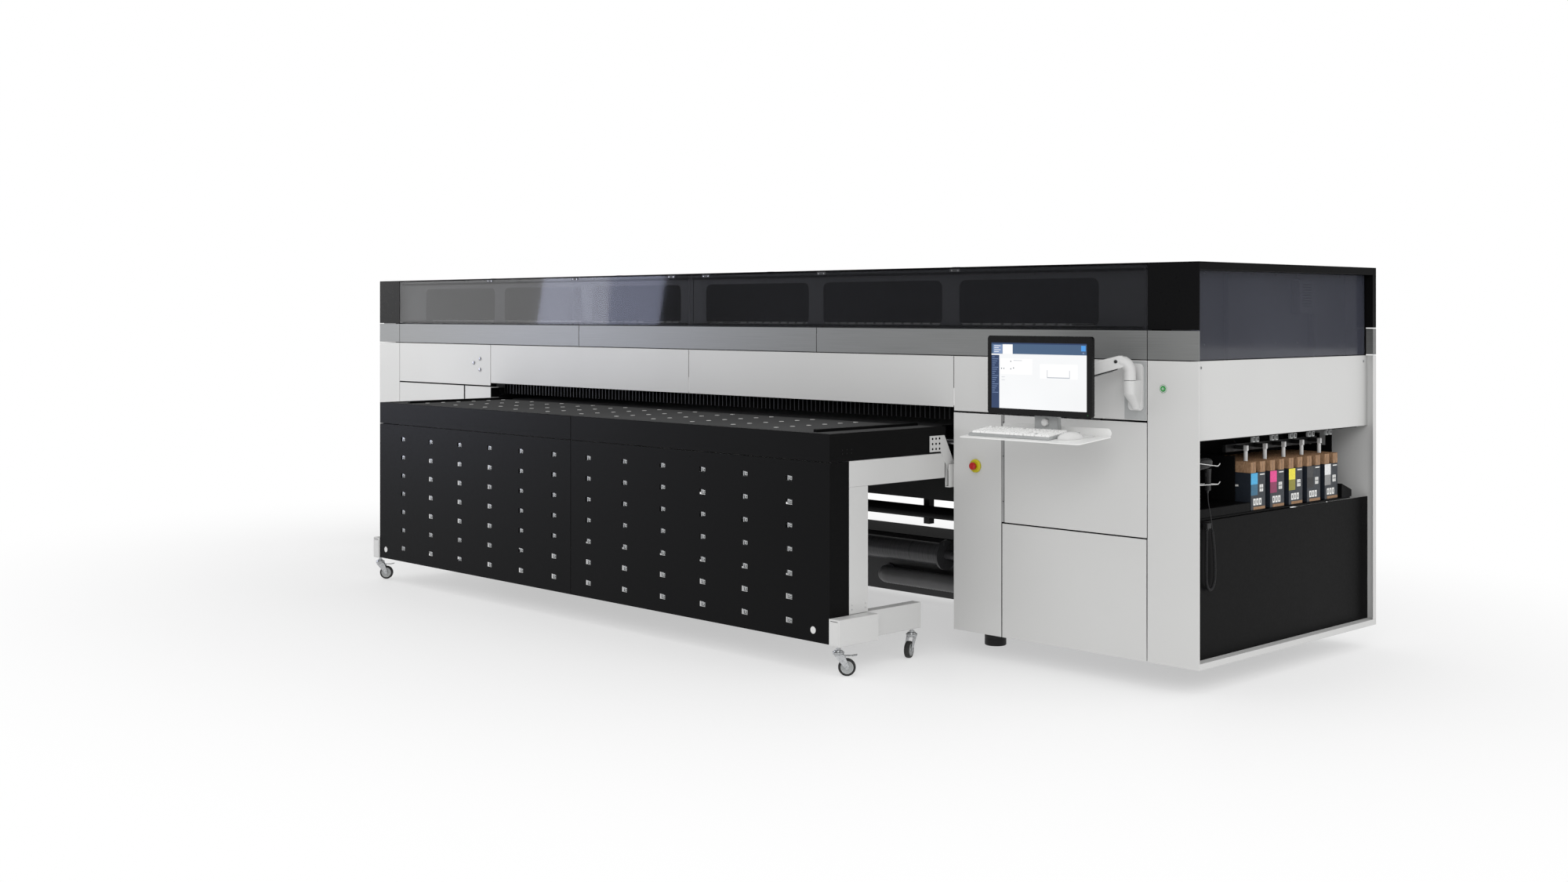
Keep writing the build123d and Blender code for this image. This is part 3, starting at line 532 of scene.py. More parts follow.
def studio():
    """A white room that looks dim in reflections, a key, two fills and a softbox for the hoods."""
    world = bpy.data.worlds.new("studio")
    bpy.context.scene.world = world
    world.use_nodes = True
    world.cycles.sampling_method = "NONE"
    nodes, links = world.node_tree.nodes, world.node_tree.links
    path = nodes.new("ShaderNodeLightPath")
    dim = nodes.new("ShaderNodeMapRange")
    dim.inputs["To Min"].default_value = ROOM_LIGHT
    dim.inputs["To Max"].default_value = ROOM_IN_REFLECTIONS
    links.new(path.outputs["Is Glossy Ray"], dim.inputs["Value"])
    sky = nodes["Background"]
    sky.inputs["Color"].default_value = (1, 1, 1, 1)
    links.new(dim.outputs["Result"], sky.inputs["Strength"])
    area_light("key", (-10.5, -5.0, 3.0), (-1.5, 0, 0.9), 5, 4, 190)
    area_light("end_fill", (9.5, 1.5, 5.0), (3.0, 0, 0.9), 4, 4, 70)
    area_light("front_fill", (7.0, -7.0, 4.2), (2.4, 0, 0.9), 3, 3, 130)
    box = area_light("hood_softbox", (-4.7, -3.43, 1.6), (-0.77, -0.35, 1.6), 1.02, 2.2, 39)
    box.rotation_euler.rotate_axis("Z", math.radians(-8))
    box.data.color = (0.68, 0.73, 1.0)
    box.visible_diffuse = False
    bpy.context.scene.view_settings.view_transform = "Standard"


def floor():
    """Pale floor that fades to the studio's white away from the machine."""
    fade = Shader("studio_floor", Base_Color=(0.86, 0.86, 0.86), Roughness=0.55)
    reach = fade.node("ShaderNodeVectorMath", operation="LENGTH")
    squash = fade.node("ShaderNodeMapping")
    squash.inputs["Scale"].default_value = (0.72, 1.0, 1.0)
    fade.join(fade.place, squash.inputs["Vector"])
    fade.join(squash.outputs["Vector"], reach.inputs[0])
    edge = fade.node("ShaderNodeMapRange", interpolation_type="SMOOTHSTEP")
    edge.inputs["From Min"].default_value = 2.0
    edge.inputs["From Max"].default_value = 4.4
    edge.inputs["To Min"].default_value = 0.5
    fade.join(reach.outputs["Value"], edge.inputs["Value"])
    white = fade.node("ShaderNodeEmission")
    mix = fade.node("ShaderNodeMixShader")
    out = fade.tree.nodes["Material Output"]
    fade.join(edge.outputs["Result"], mix.inputs["Fac"])
    fade.join(fade.bsdf.outputs["BSDF"], mix.inputs[1])
    fade.join(white.outputs["Emission"], mix.inputs[2])
    fade.join(mix.outputs["Shader"], out.inputs["Surface"])
    fade.bump(fade.noise(30.0), 0.02)
    mesh = bpy.data.meshes.new("floor")
    half = 60.0
    corners = [(-half, -half, 0), (half, -half, 0), (half, half, 0), (-half, half, 0)]
    mesh.from_pydata(corners, [], [(0, 1, 2, 3)])
    mesh.materials.append(fade.material)
    made = bpy.data.objects.new("floor", mesh)
    bpy.context.scene.collection.objects.link(made)


# ================= scanner lead =================

LEAD = [
    (3077, 116, 805),
    (3077.5, 117, 771),
    (3081, 124, 733),
    (3083, 133, 693),
    (3083, 140, 655),
]
CURL = [
    (3083, 140, 655),
    (3083, 147, 617),
    (3083.5, 155, 562),
    (3083, 159, 506),
    (3082.8, 160, 455),
    (3083, 148, 418),
    (3083, 118, 405),
    (3083, 98, 430),
    (3083.2, 95, 478),
    (3083, 95.5, 535),
    (3083.4, 97.5, 596),
    (3083, 99, 660),
]
WIRE_RADIUS = 1.9
COIL_RADIUS = 4.9
COIL_PITCH = 5.2
COIL_STEPS = 12
COIL_TAPER = 1.5  # turns over which the coil opens and closes


def spans(line):
    """Running length at each point of a line."""
    total = [0.0]
    for a, b in zip(line, line[1:]):
        total.append(total[-1] + (b - a).length)
    return total


def curly_lead():
    """A straight start, then a helix of wire around the hanging route."""
    straight = smooth_path([to_row(p) for p in LEAD])
    route = smooth_path([to_row(p) for p in CURL])
    total = spans(route)
    turns = total[-1] / (COIL_PITCH * MM)
    count = int(turns * COIL_STEPS)
    across = (route[1] - route[0]).orthogonal().normalized()
    points = list(straight[:-1:4])
    segment = 0
    ease = COIL_TAPER * COIL_STEPS
    for i in range(count + 1):
        reach = total[-1] * i / count
        while segment < len(route) - 2 and total[segment + 1] < reach:
            segment += 1
        a, b = route[segment], route[segment + 1]
        share = (reach - total[segment]) / (total[segment + 1] - total[segment])
        centre = a.lerp(b, share)
        ahead = (b - a).normalized()
        across = (across - ahead * across.dot(ahead)).normalized()
        angle = 2 * math.pi * i / COIL_STEPS
        radius = COIL_RADIUS * MM * min(1, i / ease, (count - i) / ease)
        arm = math.cos(angle) * across + math.sin(angle) * ahead.cross(across)
        points.append(centre + radius * arm)
    curve = nurbs("scanner_cord", points, 2)
    curve.bevel_depth = WIRE_RADIUS * MM
    curve.bevel_resolution = 2
    curve.use_fill_caps = True
    curve.materials.append(CORD)
    made = bpy.data.objects.new("scanner_cord", curve)
    bpy.context.scene.collection.objects.link(made)
    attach(made, "printer")
    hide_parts("scanner_lead", "scanner_curl")


# ================= CAD nodes that stay, with their materials =================

CAD_MATERIALS = {
    "base_frame": DARK_STEEL,
    "corner_columns": WHITE,
    "front_panels": WHITE,
    "grey_band": BAND,
    "upper_frame": BLACK_GLOSS,
    "side_windows": END_GLASS,
    "rear_panels": WHITE,
    "liner_panels": BLACK,
    "service_door": WHITE,
    "gantry_beam": ALUMINIUM,
    "print_carriage": DARK_SHEET,
    "carriage_heads": ALUMINIUM,
    # Cable chain in light grey plastic: its lightness is partly painted highlight, standing for the
    # pale glints on its links behind the hood glass.
    "cable_chain": GREY_PLASTIC,
    "maintenance_station": ZINC,
    "vacuum_bed": ALUMINIUM,
    "transport_belt": BELT,
    "idler_roller": RAIL_STEEL,
    "drive_roller": RAIL_STEEL,
    "slot_comb": BLACK_PLASTIC,
    "guide_roller": BLACK_GLOSS,
    "media_roll": FILM,
    "ink_tray": BLACK,
    "table_top": BED,
    "table_panels": BLACK,
    "table_frame": TABLE_WHITE,
}


def dress_cad():
    for name, material in CAD_MATERIALS.items():
        mesh = NODES[name].data
        mesh.materials.clear()
        mesh.materials.append(material)


# ================= hoods and windows =================

WINDOW_CENTRES = (485.0, 1351.0, 2219.0)
WINDOW_W, WINDOW_LOW, WINDOW_HIGH, WINDOW_ROUND = 766.0, 1474.0, 1681.0, 34.0
HINGES = (140.0, 990.0, 1840.0)
FRAME_END = 2863.0
END_WALLS = (  # inner end wall, then the posts and the cabinet on its outer side
    ((2960, 2963), (30, 1466), (1032, 1728)),
    ((2963, 2985), (420, 470), (1060, 1700)),
    ((2963, 3000), (985, 1115), (1530, 1680)),
    ((2963, 2990), (1130, 1250), (1060, 1600)),
)


def holed_plate(part, outer, hole, radius, y0, y1, material):
    """A flat plate in the XZ plane with one round-cornered opening."""
    x0, x1, z0, z1 = outer
    steps = 8
    ring = rounded(*hole, radius, steps)
    corners = ((x1, z0), (x1, z1), (x0, z1), (x0, z0))
    shape = bmesh.new()
    layers = []
    for y in (y0, y1):
        layers.append((
            [shape.verts.new((x, y, z)) for x, z in ring],
            [shape.verts.new((x, y, z)) for x, z in corners],
        ))
    arc = steps + 1
    for inner, outside in layers:
        for c in range(4):
            for i in range(steps):
                shape.faces.new((outside[c], inner[c * arc + i], inner[c * arc + i + 1]))
            last, following = inner[c * arc + steps], inner[((c + 1) % 4) * arc]
            shape.faces.new((outside[c], last, following, outside[(c + 1) % 4]))
    for part_of in (0, 1):
        a, b = layers[0][part_of], layers[1][part_of]
        for i in range(len(a)):
            j = (i + 1) % len(a)
            shape.faces.new((a[i], a[j], b[j], b[i]))
    part.take(shape, material)


def window_frame():
    low, high = Vector((-FRAME_END, 34.0, 1430.0)), Vector((FRAME_END, 37.0, 1728.0))
    part = Part("inner_window_frame")
    bounds = [3.0]
    bounds += [(a + b) / 2 for a, b in zip(WINDOW_CENTRES, WINDOW_CENTRES[1:])]
    bounds.append(high.x)
    for side in (1, -1):
        for centre, x0, x1 in zip(WINDOW_CENTRES, bounds, bounds[1:]):
            outer = mirrored(side, x0, x1)
            hole = mirrored(side, centre - WINDOW_W / 2, centre + WINDOW_W / 2)
            holed_plate(
                part, (*outer, low.z, high.z), (*hole, WINDOW_LOW, WINDOW_HIGH),
                WINDOW_ROUND, low.y, high.y, DARK_SHEET,
            )
            for x in (outer[0] + 22, outer[1] - 22):
                for z in (low.z + 18, high.z - 14):
                    part.disc((x, low.y - 1, z), 5, 2, "y", DARK_STEEL, steps=16)
        for (x0, x1), y, z in END_WALLS:
            part.box(mirrored(side, x0, x1), y, z, DARK_SHEET, edge=1.0)
        for y in range(80, 1440, 190):
            for z in (1080, 1400, 1700):
                part.disc((side * 2964, y, z), 6, 2.4, "x", RAIL_STEEL, 0.6, 16)
        for k in range(9):
            z = 1560 + 12 * k
            part.box(mirrored(side, 3000, 3001.2), (1010, 1090), (z, z + 4), BLACK, 0.3)
    part.finish("printer", "dark_sheet", "window_frames")


def hood(side):
    name = "hood_right" if side > 0 else "hood_left"
    low, high = limits(name)
    part = Part(name + "_assembly")
    part.box((low.x, high.x), (0, 5), (low.z, high.z), HOOD_GLASS, edge=1.0)
    for z0, z1 in ((low.z, low.z + 12), (1706, 1718)):
        part.box((low.x + 20, high.x - 20), (5, 17), (z0, z1), BLACK_GLOSS, edge=1.0)
    for x in HINGES:
        centre = side * x
        part.box((centre - 30, centre + 30), (-1.6, 0), (1718, 1732), DARK_STEEL, edge=0.5)
        for dx in (-18, 18):
            part.disc((centre + dx, -1.8, 1724), 3.4, 1.2, "y", RAIL_STEEL, 0.4, 16)
    for x in (low.x + 320, high.x - 320):
        part.box((x - 60, x + 60), (5, 9), (low.z + 14, low.z + 20), BLACK_PLASTIC)
    part.finish(name, "tinted_glass", name)


SLOT_HALF, GROOVE_IN, GROOVE_OUT = 1832.0, 2107.0, 2123.0
GROOVE_Z, SLOT_Z = (609.0, 1082.0), (1020.0, 1076.0)


def groove_seals():
    """Grey backing and a black seal in each upright groove, and the slot's black end liners."""
    part = Part("groove_seals")
    for side in (1, -1):
        part.box(mirrored(side, GROOVE_IN - 1, GROOVE_OUT), (5, 6), GROOVE_Z, SEAL_GREY, 0.2)
        part.box(mirrored(side, GROOVE_OUT - 5, GROOVE_OUT), (3.5, 5), GROOVE_Z, BLACK, 0.3)
        part.box(mirrored(side, SLOT_HALF - 0.7, SLOT_HALF), (1, 61), SLOT_Z, BLACK, 0.1)
        for z in (700, 900, 1050):
            part.disc((side * (GROOVE_IN + 6), 5, z), 2.6, 1.0, "y", DARK_STEEL, 0.2, 12)
    part.finish("printer", "grey_plastic")


CABINET_BOXES = ((230, 210, 300), (570, 260, 180), (910, 180, 240))  # y, depth and height


def cabinet_fittings():
    """Floor, back sheet, wall boxes and cable duct behind the service door."""
    part = Part("cabinet_fittings")
    part.box((1912, 2638), (30, 1440), (161.5, 164), DARK_SHEET, 0.6)
    part.box((1912, 2695), (1440, 1443), (165, 1010), DARK_SHEET, 0.8)
    for k in range(14):
        part.box((2160, 2420), (1438.5, 1440), (300 + 22 * k, 308 + 22 * k), BLACK, 0.4)
    part.box((2632, 2697), (200, 1300), (250, 300), WHITE_PLASTIC, 2)
    for y, deep, tall in CABINET_BOXES:
        part.box((2628, 2697), (y, y + deep), (330, 330 + tall), GREY_PLASTIC, 2)
        for k in range(6):
            louvre = (350 + 14 * k, 355 + 14 * k)
            part.box((2627, 2628.5), (y + 20, y + deep - 20), louvre, BLACK, 0.2)
        part.disc((2627.6, y + deep - 14, 316 + tall), 4, 1, "x", GREEN, 0.2, 14)
    part.finish("printer", "dark_sheet")


# ================= controls =================


LOCKS = ((-2011.5, 1225.0), (-1944.5, 1251.0), (-1944.5, 1184.0))
LOCK_PROFILE = [(0, 0), (11, 0), (11, 4.5), (9.6, 6), (6.4, 6), (6, 5.2), (6, 7.6), (5.2, 8)]
LOCK_PROFILE.append((0, 8))


def controls():
    part = Part("control_faces")
    x, _, z = middle("emergency_stop_button")
    collar = [(10.2, 0), (28.5, 0), (30, -1.5), (30, -8), (27, -11.5), (22, -12), (10.2, -12)]
    collar.append(collar[0])
    part.turned([(r, -h) for r, h in collar], (x, 0, z), FORWARD, YELLOW, 48)
    x, _, z = middle("start_button")
    ring = [(12.4, 0), (17.2, 0), (18, 0.8), (17.4, 2.2), (16.6, 2.6), (12.4, 2.6), (12.4, 0)]
    part.turned(ring, (x, 0, z), FORWARD, WHITE_PLASTIC, 40)
    glow = [(15.6, 2), (17.0, 2), (17.0, 2.9), (15.6, 2.9), (15.6, 2)]
    part.turned(glow, (x, 0, z), FORWARD, GREEN, 40)
    for x, z in LOCKS:
        part.turned(LOCK_PROFILE, (x, 0, z), FORWARD, RAIL_STEEL, 32)
        part.box((x - 0.9, x + 0.9), (-8.4, -7.6), (z - 4, z + 4), BLACK_PLASTIC, edge=0)
    part.finish("printer", "control_yellow", "control_bezels")


def emergency_button():
    low = limits("emergency_stop_button")[0]
    x, _, z = middle("emergency_stop_button")
    reach = -low.y
    part = Part("emergency_stop_mushroom")
    cap = [(0, reach), (9, reach - 0.3), (14, reach - 1.6), (16.6, reach - 4.5), (17, reach - 9)]
    cap += [(16.4, reach - 15), (14.5, reach - 18), (10, reach - 18), (10, 4.2), (0, 4.2)]
    part.turned(cap, (x, 0, z), FORWARD, RED, 48)
    for k in range(24):
        grip = about_y(x, z, 2 * math.pi * k / 24)
        part.box((16.2, 17.0), (low.y + 5, low.y + 14), (-0.9, 0.9), RED, 0.3, grip)
    part.finish("emergency_stop", "red_plastic", "emergency_stop_button")


def start_button():
    low, high = limits("start_button")
    x, _, z = middle("start_button")
    part = Part("start_cap")
    cap = [(0, -high.y), (11.4, -high.y), (11.4, -low.y - 0.8), (10.4, -low.y), (0, -low.y)]
    part.turned(cap, (x, 0, z), FORWARD, GREEN, 40)
    face = [(2.6, 0), (4.6, 0), (4.6, 0.4), (2.6, 0.4), (2.6, 0)]
    part.turned(face, (x, low.y + 0.1, z), FORWARD, WHITE_PLASTIC, 32)
    part.finish("start_button", "button_green", "start_button")


# ================= ink bay =================


SHOULDER_Z = 856.0  # top of a carton's body, below its cardboard crown
CROWN_WIDE, CROWN_WALL = 41, 3.0
NECK = [(0, 862), (6.5, 862), (7, 870), (7, 884), (10, 885), (10.5, 890), (10.5, 897)]
NECK += [(8.5, 899), (8.5, 938), (7.5, 950), (5, 952), (0, 952)]


def ink_carton(ink):
    """Printed box with its cardboard crown, colour patch and generic marks."""
    low, high = limits(f"ink_carton_{ink}")
    shoulder, wall = SHOULDER_Z, CROWN_WALL
    x0, x1 = low.x, high.x
    y0, y1 = low.y, high.y
    part = Part(f"carton_{ink}")
    light = printed(f"{ink}_print", INKS[ink])
    deep = printed(f"{ink}_deep_print", shade(INKS[ink], 0.32))
    part.box((x0, x1), (y0, y1), (low.z, shoulder), NAVY, edge=1.6)
    for a, b in ((y0, y0 + CROWN_WIDE), (y1 - CROWN_WIDE, y1)):
        for c, d in ((a, a + wall), (b - wall, b)):
            part.box((x0, x1 - 0.4), (c, d), (shoulder, high.z), BOARD, edge=0.7)
        for c in (x0, x1 - wall):
            part.box((c, c + wall), (a + wall, b - wall), (shoulder, high.z - 1), BOARD, edge=0.7)
        part.box((x0 + 2, x1 - 2), (a + 2, b - 2), (high.z - 9, high.z - 5), BOARD, edge=0.5)
        split = (a + b) / 2
        slit = (split - 0.8, split + 0.8)
        part.box((x1 - 3.2, x1 + 0.1), slit, (shoulder + 3, high.z - 3), NAVY, 0)
    width, height = y1 - y0, shoulder - low.z

    def mark(u0, u1, v0, v1, material, lift=0.35):
        """A printed area on the end face: fractions from its left and its top."""
        part.box(
            (x1 - 0.5, x1 + lift), (y0 + u0 * width, y0 + u1 * width),
            (shoulder - v1 * height, shoulder - v0 * height), material, edge=0.1,
        )

    mark(0.0, 0.46, 0.01, 0.31, light)
    mark(0.0, 0.46, 0.31, 0.60, deep)
    mark(0.60, 0.84, 0.33, 0.52, LABEL_WHITE)
    for u in (0.68, 0.76):
        mark(u - 0.01, u + 0.01, 0.34, 0.51, NAVY, 0.5)
    mark(0.61, 0.83, 0.415, 0.435, NAVY, 0.5)
    for u in (0.16, 0.36, 0.56):
        mark(u, u + 0.16, 0.69, 0.87, LABEL_WHITE)
        mark(u + 0.055, u + 0.105, 0.735, 0.825, NAVY, 0.5)
    mark(0.62, 0.94, 0.045, 0.075, LABEL_WHITE)
    mark(0.17, 0.98, 0.91, 0.985, BOARD)
    for drop, tall, material in ((60, 8, LABEL_WHITE), (140, 7, BOARD)):
        stripe = (shoulder - drop, shoulder - drop + tall)
        part.box((x0 + 30, x1 - 60), (y0 - 0.3, y0 + 0.5), stripe, material, 0.1)
    part.finish(f"ink_carton_{ink}", "carton_board", f"ink_carton_{ink}")


def ink_couplings():
    low, high = limits("ink_connectors")
    part = Part("ink_couplings")
    part.box((2924, 2944), (low.y, high.y), (938, 972), BLACK_PLASTIC, edge=2)
    for ink in INKS:
        y = middle(f"ink_carton_{ink}")[1]
        part.turned(NECK, (2992, y, 0), "z", WHITE_PLASTIC, 28)
        part.box((2985, 3004), (y - 9, y + 5), (944, 968), WHITE_PLASTIC, edge=2)
        part.box((2944, 2988), (y - 11, y + 11), (950, 966), BLACK_PLASTIC, edge=2)
        tube = ((2940, 972), (2925, 992), (2890, 1000), (2850, 1003))
        part.rope([(x, y + 6, z) for x, z in tube], 3.5, CORD)
        for dy in (-16, 16):
            part.box((3030, 3042), (y + dy - 9, y + dy + 9), (984, 1010), GREY_PLASTIC, edge=1)
            part.box((3041, 3043), (y + dy - 5, y + dy + 5), (989, 1003), BLACK_PLASTIC, edge=0.4)
    part.finish("printer", "white_plastic", "ink_connectors")


HOLDER_BENDS = ((3054, 155), (3055, 161), (3060, 162), (3092, 162), (3097, 161), (3098, 154))
HOLDER_WIRE, SOCKET_LOW = 1.7, 660.0


def scanner_holder():
    part = Part("scanner_holder")
    part.box((3046, 3102), (4, 9), (800, 945), WHITE, edge=1.2)
    for z, drop in ((842, 6), (930, 20)):
        tip = z - drop
        wire = [(3054, 8, z)] + [(x, y, tip) for x, y in HOLDER_BENDS] + [(3098, 8, z)]
        part.rope(wire, HOLDER_WIRE, WHITE_PLASTIC, 12)
        hook = [(3097, 160, tip), (3101, 163, tip + 5), (3104, 165, tip + 11)]
        part.rope(hook, HOLDER_WIRE, WHITE_PLASTIC, 12)
    part.box((3070, 3096), (84, 114), (SOCKET_LOW, 684), BLACK_PLASTIC, edge=3)
    bush = [(9, 0), (9, 6), (7.6, 8), (7.6, 0)]
    part.turned(bush, (3083, 99, SOCKET_LOW - 6), "z", BLACK_PLASTIC, 24)
    part.finish("printer", "zinc", "scanner_dock")


def hand_scanner():
    """Scanner head, nose window and curved grip, resting in its wire holder."""
    cx = middle("barcode_scanner")[0]
    part = Part("hand_scanner")

    def ring(y, z0, z1, half):
        corner = min(half, (z1 - z0) / 2) * 0.7
        return [(cx + a, y, b) for a, b in rounded(-half, half, z0, z1, corner)]

    head = [ring(40, 905, 940, 10), ring(44, 898, 946, 14), ring(70, 899, 947, 15)]
    head += [ring(105, 902, 946, 14), ring(130, 906, 940, 12), ring(141, 914, 934, 7)]
    part.loft(head, BEZEL)

    def level(z, y0, y1, half):
        return [(cx + a, b, z) for a, b in rounded(-half, half, y0, y1, half * 0.8)]

    grip = [level(812, 104, 128, 8), level(816, 102, 130, 10), level(850, 103, 129, 10)]
    grip += [level(880, 101, 130, 10.5), level(900, 98, 132, 11)]
    part.loft(grip, BEZEL)
    part.box((cx - 9, cx + 9), (40.5, 42), (910, 935), BEZEL, edge=0.6)
    part.turned([(0, 0), (6, 0), (4.5, 7), (3, 14), (0, 14)], (cx, 116, 815), (0, 0, -1), CORD, 20)
    part.box((cx - 4, cx + 4), (97, 103), (868, 888), BEZEL, edge=2)
    part.finish("printer", "black_plastic", "barcode_scanner")


# ================= operator station =================


def wall_mount():
    low, high = limits("arm_mount")
    post = to_mm(JOINTS["arm_swivel"]["pos_m"])
    part = Part("arm_wall_mount")
    back = rounded(2756, 2862, 1093, 1334, 3)
    part.prism(back, "y", -1.5, 0, GREY_PLASTIC, edge=0.4)
    plate = rounded(low.x, high.x, low.z, high.z, 14)
    part.prism(plate, "y", -12, -1.2, WHITE_PLASTIC, edge=3)

    def cup(z, half, front):
        """A stadium that runs from the wall plate out to the post."""
        points = [(post.x + half, -9, z), (post.x - half, -9, z)]
        centre = min(front + half, -10)
        for i in range(17):
            angle = math.pi + math.pi * i / 16
            x, y = post.x - half * math.cos(angle), centre + half * math.sin(angle)
            points.insert(1 + i, (x, y, z))
        return points

    part.loft(
        [cup(1136, 15, -22), cup(1150, 19, -32), cup(1176, 24, -58), cup(1196, 26, -80),
         cup(1206, 27, -86), cup(1250, 27, -87), cup(1255, 26, -86)],
        WHITE_PLASTIC,
    )
    for z in (1238, 1226):
        part.disc((post.x - 26.6, -64, z), 2.4, 1.6, "x", DARK_STEEL, 0.3, 14)
    part.finish("printer", "white_plastic", "arm_mount")


def arm_link():
    """Elbow on the post, and the link that slopes down to the head's clevis."""
    post = to_mm(JOINTS["arm_swivel"]["pos_m"])
    head = to_mm(JOINTS["station_swivel"]["pos_m"])
    low, top = (corner.z for corner in limits("arm_link"))
    head_top = limits("head_bracket")[1].z
    foot = top - 49
    length = math.hypot(head.x - post.x, head.y - post.y)
    turn = about_z(post.x, post.y, math.degrees(math.atan2(head.y - post.y, head.x - post.x)))
    part = Part("arm_spring_link")
    skirt = [(25.5, 1257), (26, 1259), (26, 1284), (25, 1290), (0, 1290)]
    part.turned(skirt, (0, 0, 0), "z", WHITE_PLASTIC, 40, turn)
    part.rope(
        [(0, 0, 1284), (0, 0, 1296), (2, 0, 1308), (9, 0, 1320), (21, 0, 1329), (38, 0, 1331)],
        [25.5, 25.5, 26, 26.5, 26, 25], WHITE_PLASTIC, 32, turn,
    )
    side = [(34, foot), (length - 34, low + 1), (length - 26, low + 6), (length - 26, head_top - 8)]
    side += [(length - 34, head_top), (44, top), (30, top), (17, top - 7), (12, top - 20)]
    side.append((16, foot + 6))
    part.prism(side, "y", -23, 23, WHITE_PLASTIC, 7, turn)

    def under(reach, drop):
        """A point below the link's sloping lower edge."""
        return reach, foot + (low - foot) * (reach - 34) / (length - 68) - drop

    slot = [under(50, 5), under(length - 72, 5), under(length - 62, -4), under(44, -4)]
    part.prism(slot, "y", -15, 15, BLACK_PLASTIC, 2, turn)
    strip = [under(66, 9), under(length - 84, 9), under(length - 80, 6), under(68, 6)]
    part.prism(strip, "y", -9, 9, GREY_PLASTIC, 1, turn)
    for y in (-23.4, 23.4):
        part.disc((54, y, 1333), 8.6, 2, "y", GREY_PLASTIC, 0.5, 28, turn)
        part.disc((54, y * 1.03, 1333), 6.6, 2, "y", BLACK_PLASTIC, 0.5, 28, turn)
    for z in (low + 4, head_top - 4):
        part.disc((length, 0, z), 21, 8, "z", WHITE_PLASTIC, 1.5, 32, turn)
        part.box((length - 40, length), (-20, 20), (z - 4, z + 4), WHITE_PLASTIC, 1.5, turn)
    part.finish("arm_link", "white_plastic", "arm_link")


KNOB_Z = 1080


def head_bracket():
    low, high = limits("head_bracket")
    head = to_mm(JOINTS["station_swivel"]["pos_m"])
    tilt = to_mm(JOINTS["monitor_tilt"]["pos_m"])
    part = Part("station_bracket")
    part.disc((head.x, head.y, head.z), 21, 44, "z", WHITE_PLASTIC, 2, 36)
    clamp = (head.z - 20, head.z + 20)
    part.box((head.x - 14, head.x + 14), (-246, -226), clamp, GREY_PLASTIC, edge=2)
    plate = rounded(head.x - 58, head.x + 58, low.z, high.z, 8)
    part.prism(plate, "y", -249, -244, GREY_PLASTIC, edge=0.8)
    for x in (head.x - 58, head.x + 53):
        part.box((x, x + 5), (-246, -223), (1036, head.z - 46), GREY_PLASTIC, edge=1)
    for x in (head.x - 36, head.x + 31):
        part.box((x, x + 5), (-264, -248), (tilt.z - 10, tilt.z + 10), GREY_PLASTIC, edge=1)
    part.disc((tilt.x, tilt.y, tilt.z), 3, 74, "x", RAIL_STEEL, 0.5, 20)
    knob = [(0, 15), (11, 15), (14.5, 13.6), (16, 11), (16, 3), (15, 0), (0, 0)]
    part.turned(knob, (head.x, -248.5, KNOB_Z), FORWARD, WHITE_PLASTIC, 40)
    for k in range(20):
        grip = about_y(head.x, KNOB_Z, math.pi * k / 10)
        part.box((15.4, 16.5), (-260, -251), (-0.9, 0.9), WHITE_PLASTIC, 0.3, grip)
    for x in (head.x - 40, head.x + 40):
        for z in (1046, 1116):
            part.disc((x, -249.6, z), 3.6, 2, "y", RAIL_STEEL, 0.4, 16)
    part.finish("station_head", "grey_plastic", "head_bracket")


SCREEN = {
    "ui_body": (0.93, 0.94, 0.95),
    "ui_navy": (0.018, 0.045, 0.125),
    "ui_blue": (0.058, 0.115, 0.215),
    "ui_pale": (0.21, 0.30, 0.50),
    "ui_white": (1.0, 1.0, 1.0),
    "ui_icon": (0.07, 0.33, 0.80),
    "ui_line": (0.5, 0.53, 0.58),
    "ui_dark": (0.10, 0.12, 0.16),
}


SCREEN_LEFT, SCREEN_BOTTOM, SCREEN_WIDE, SCREEN_TALL = 21, 25, 487.0, 274.0


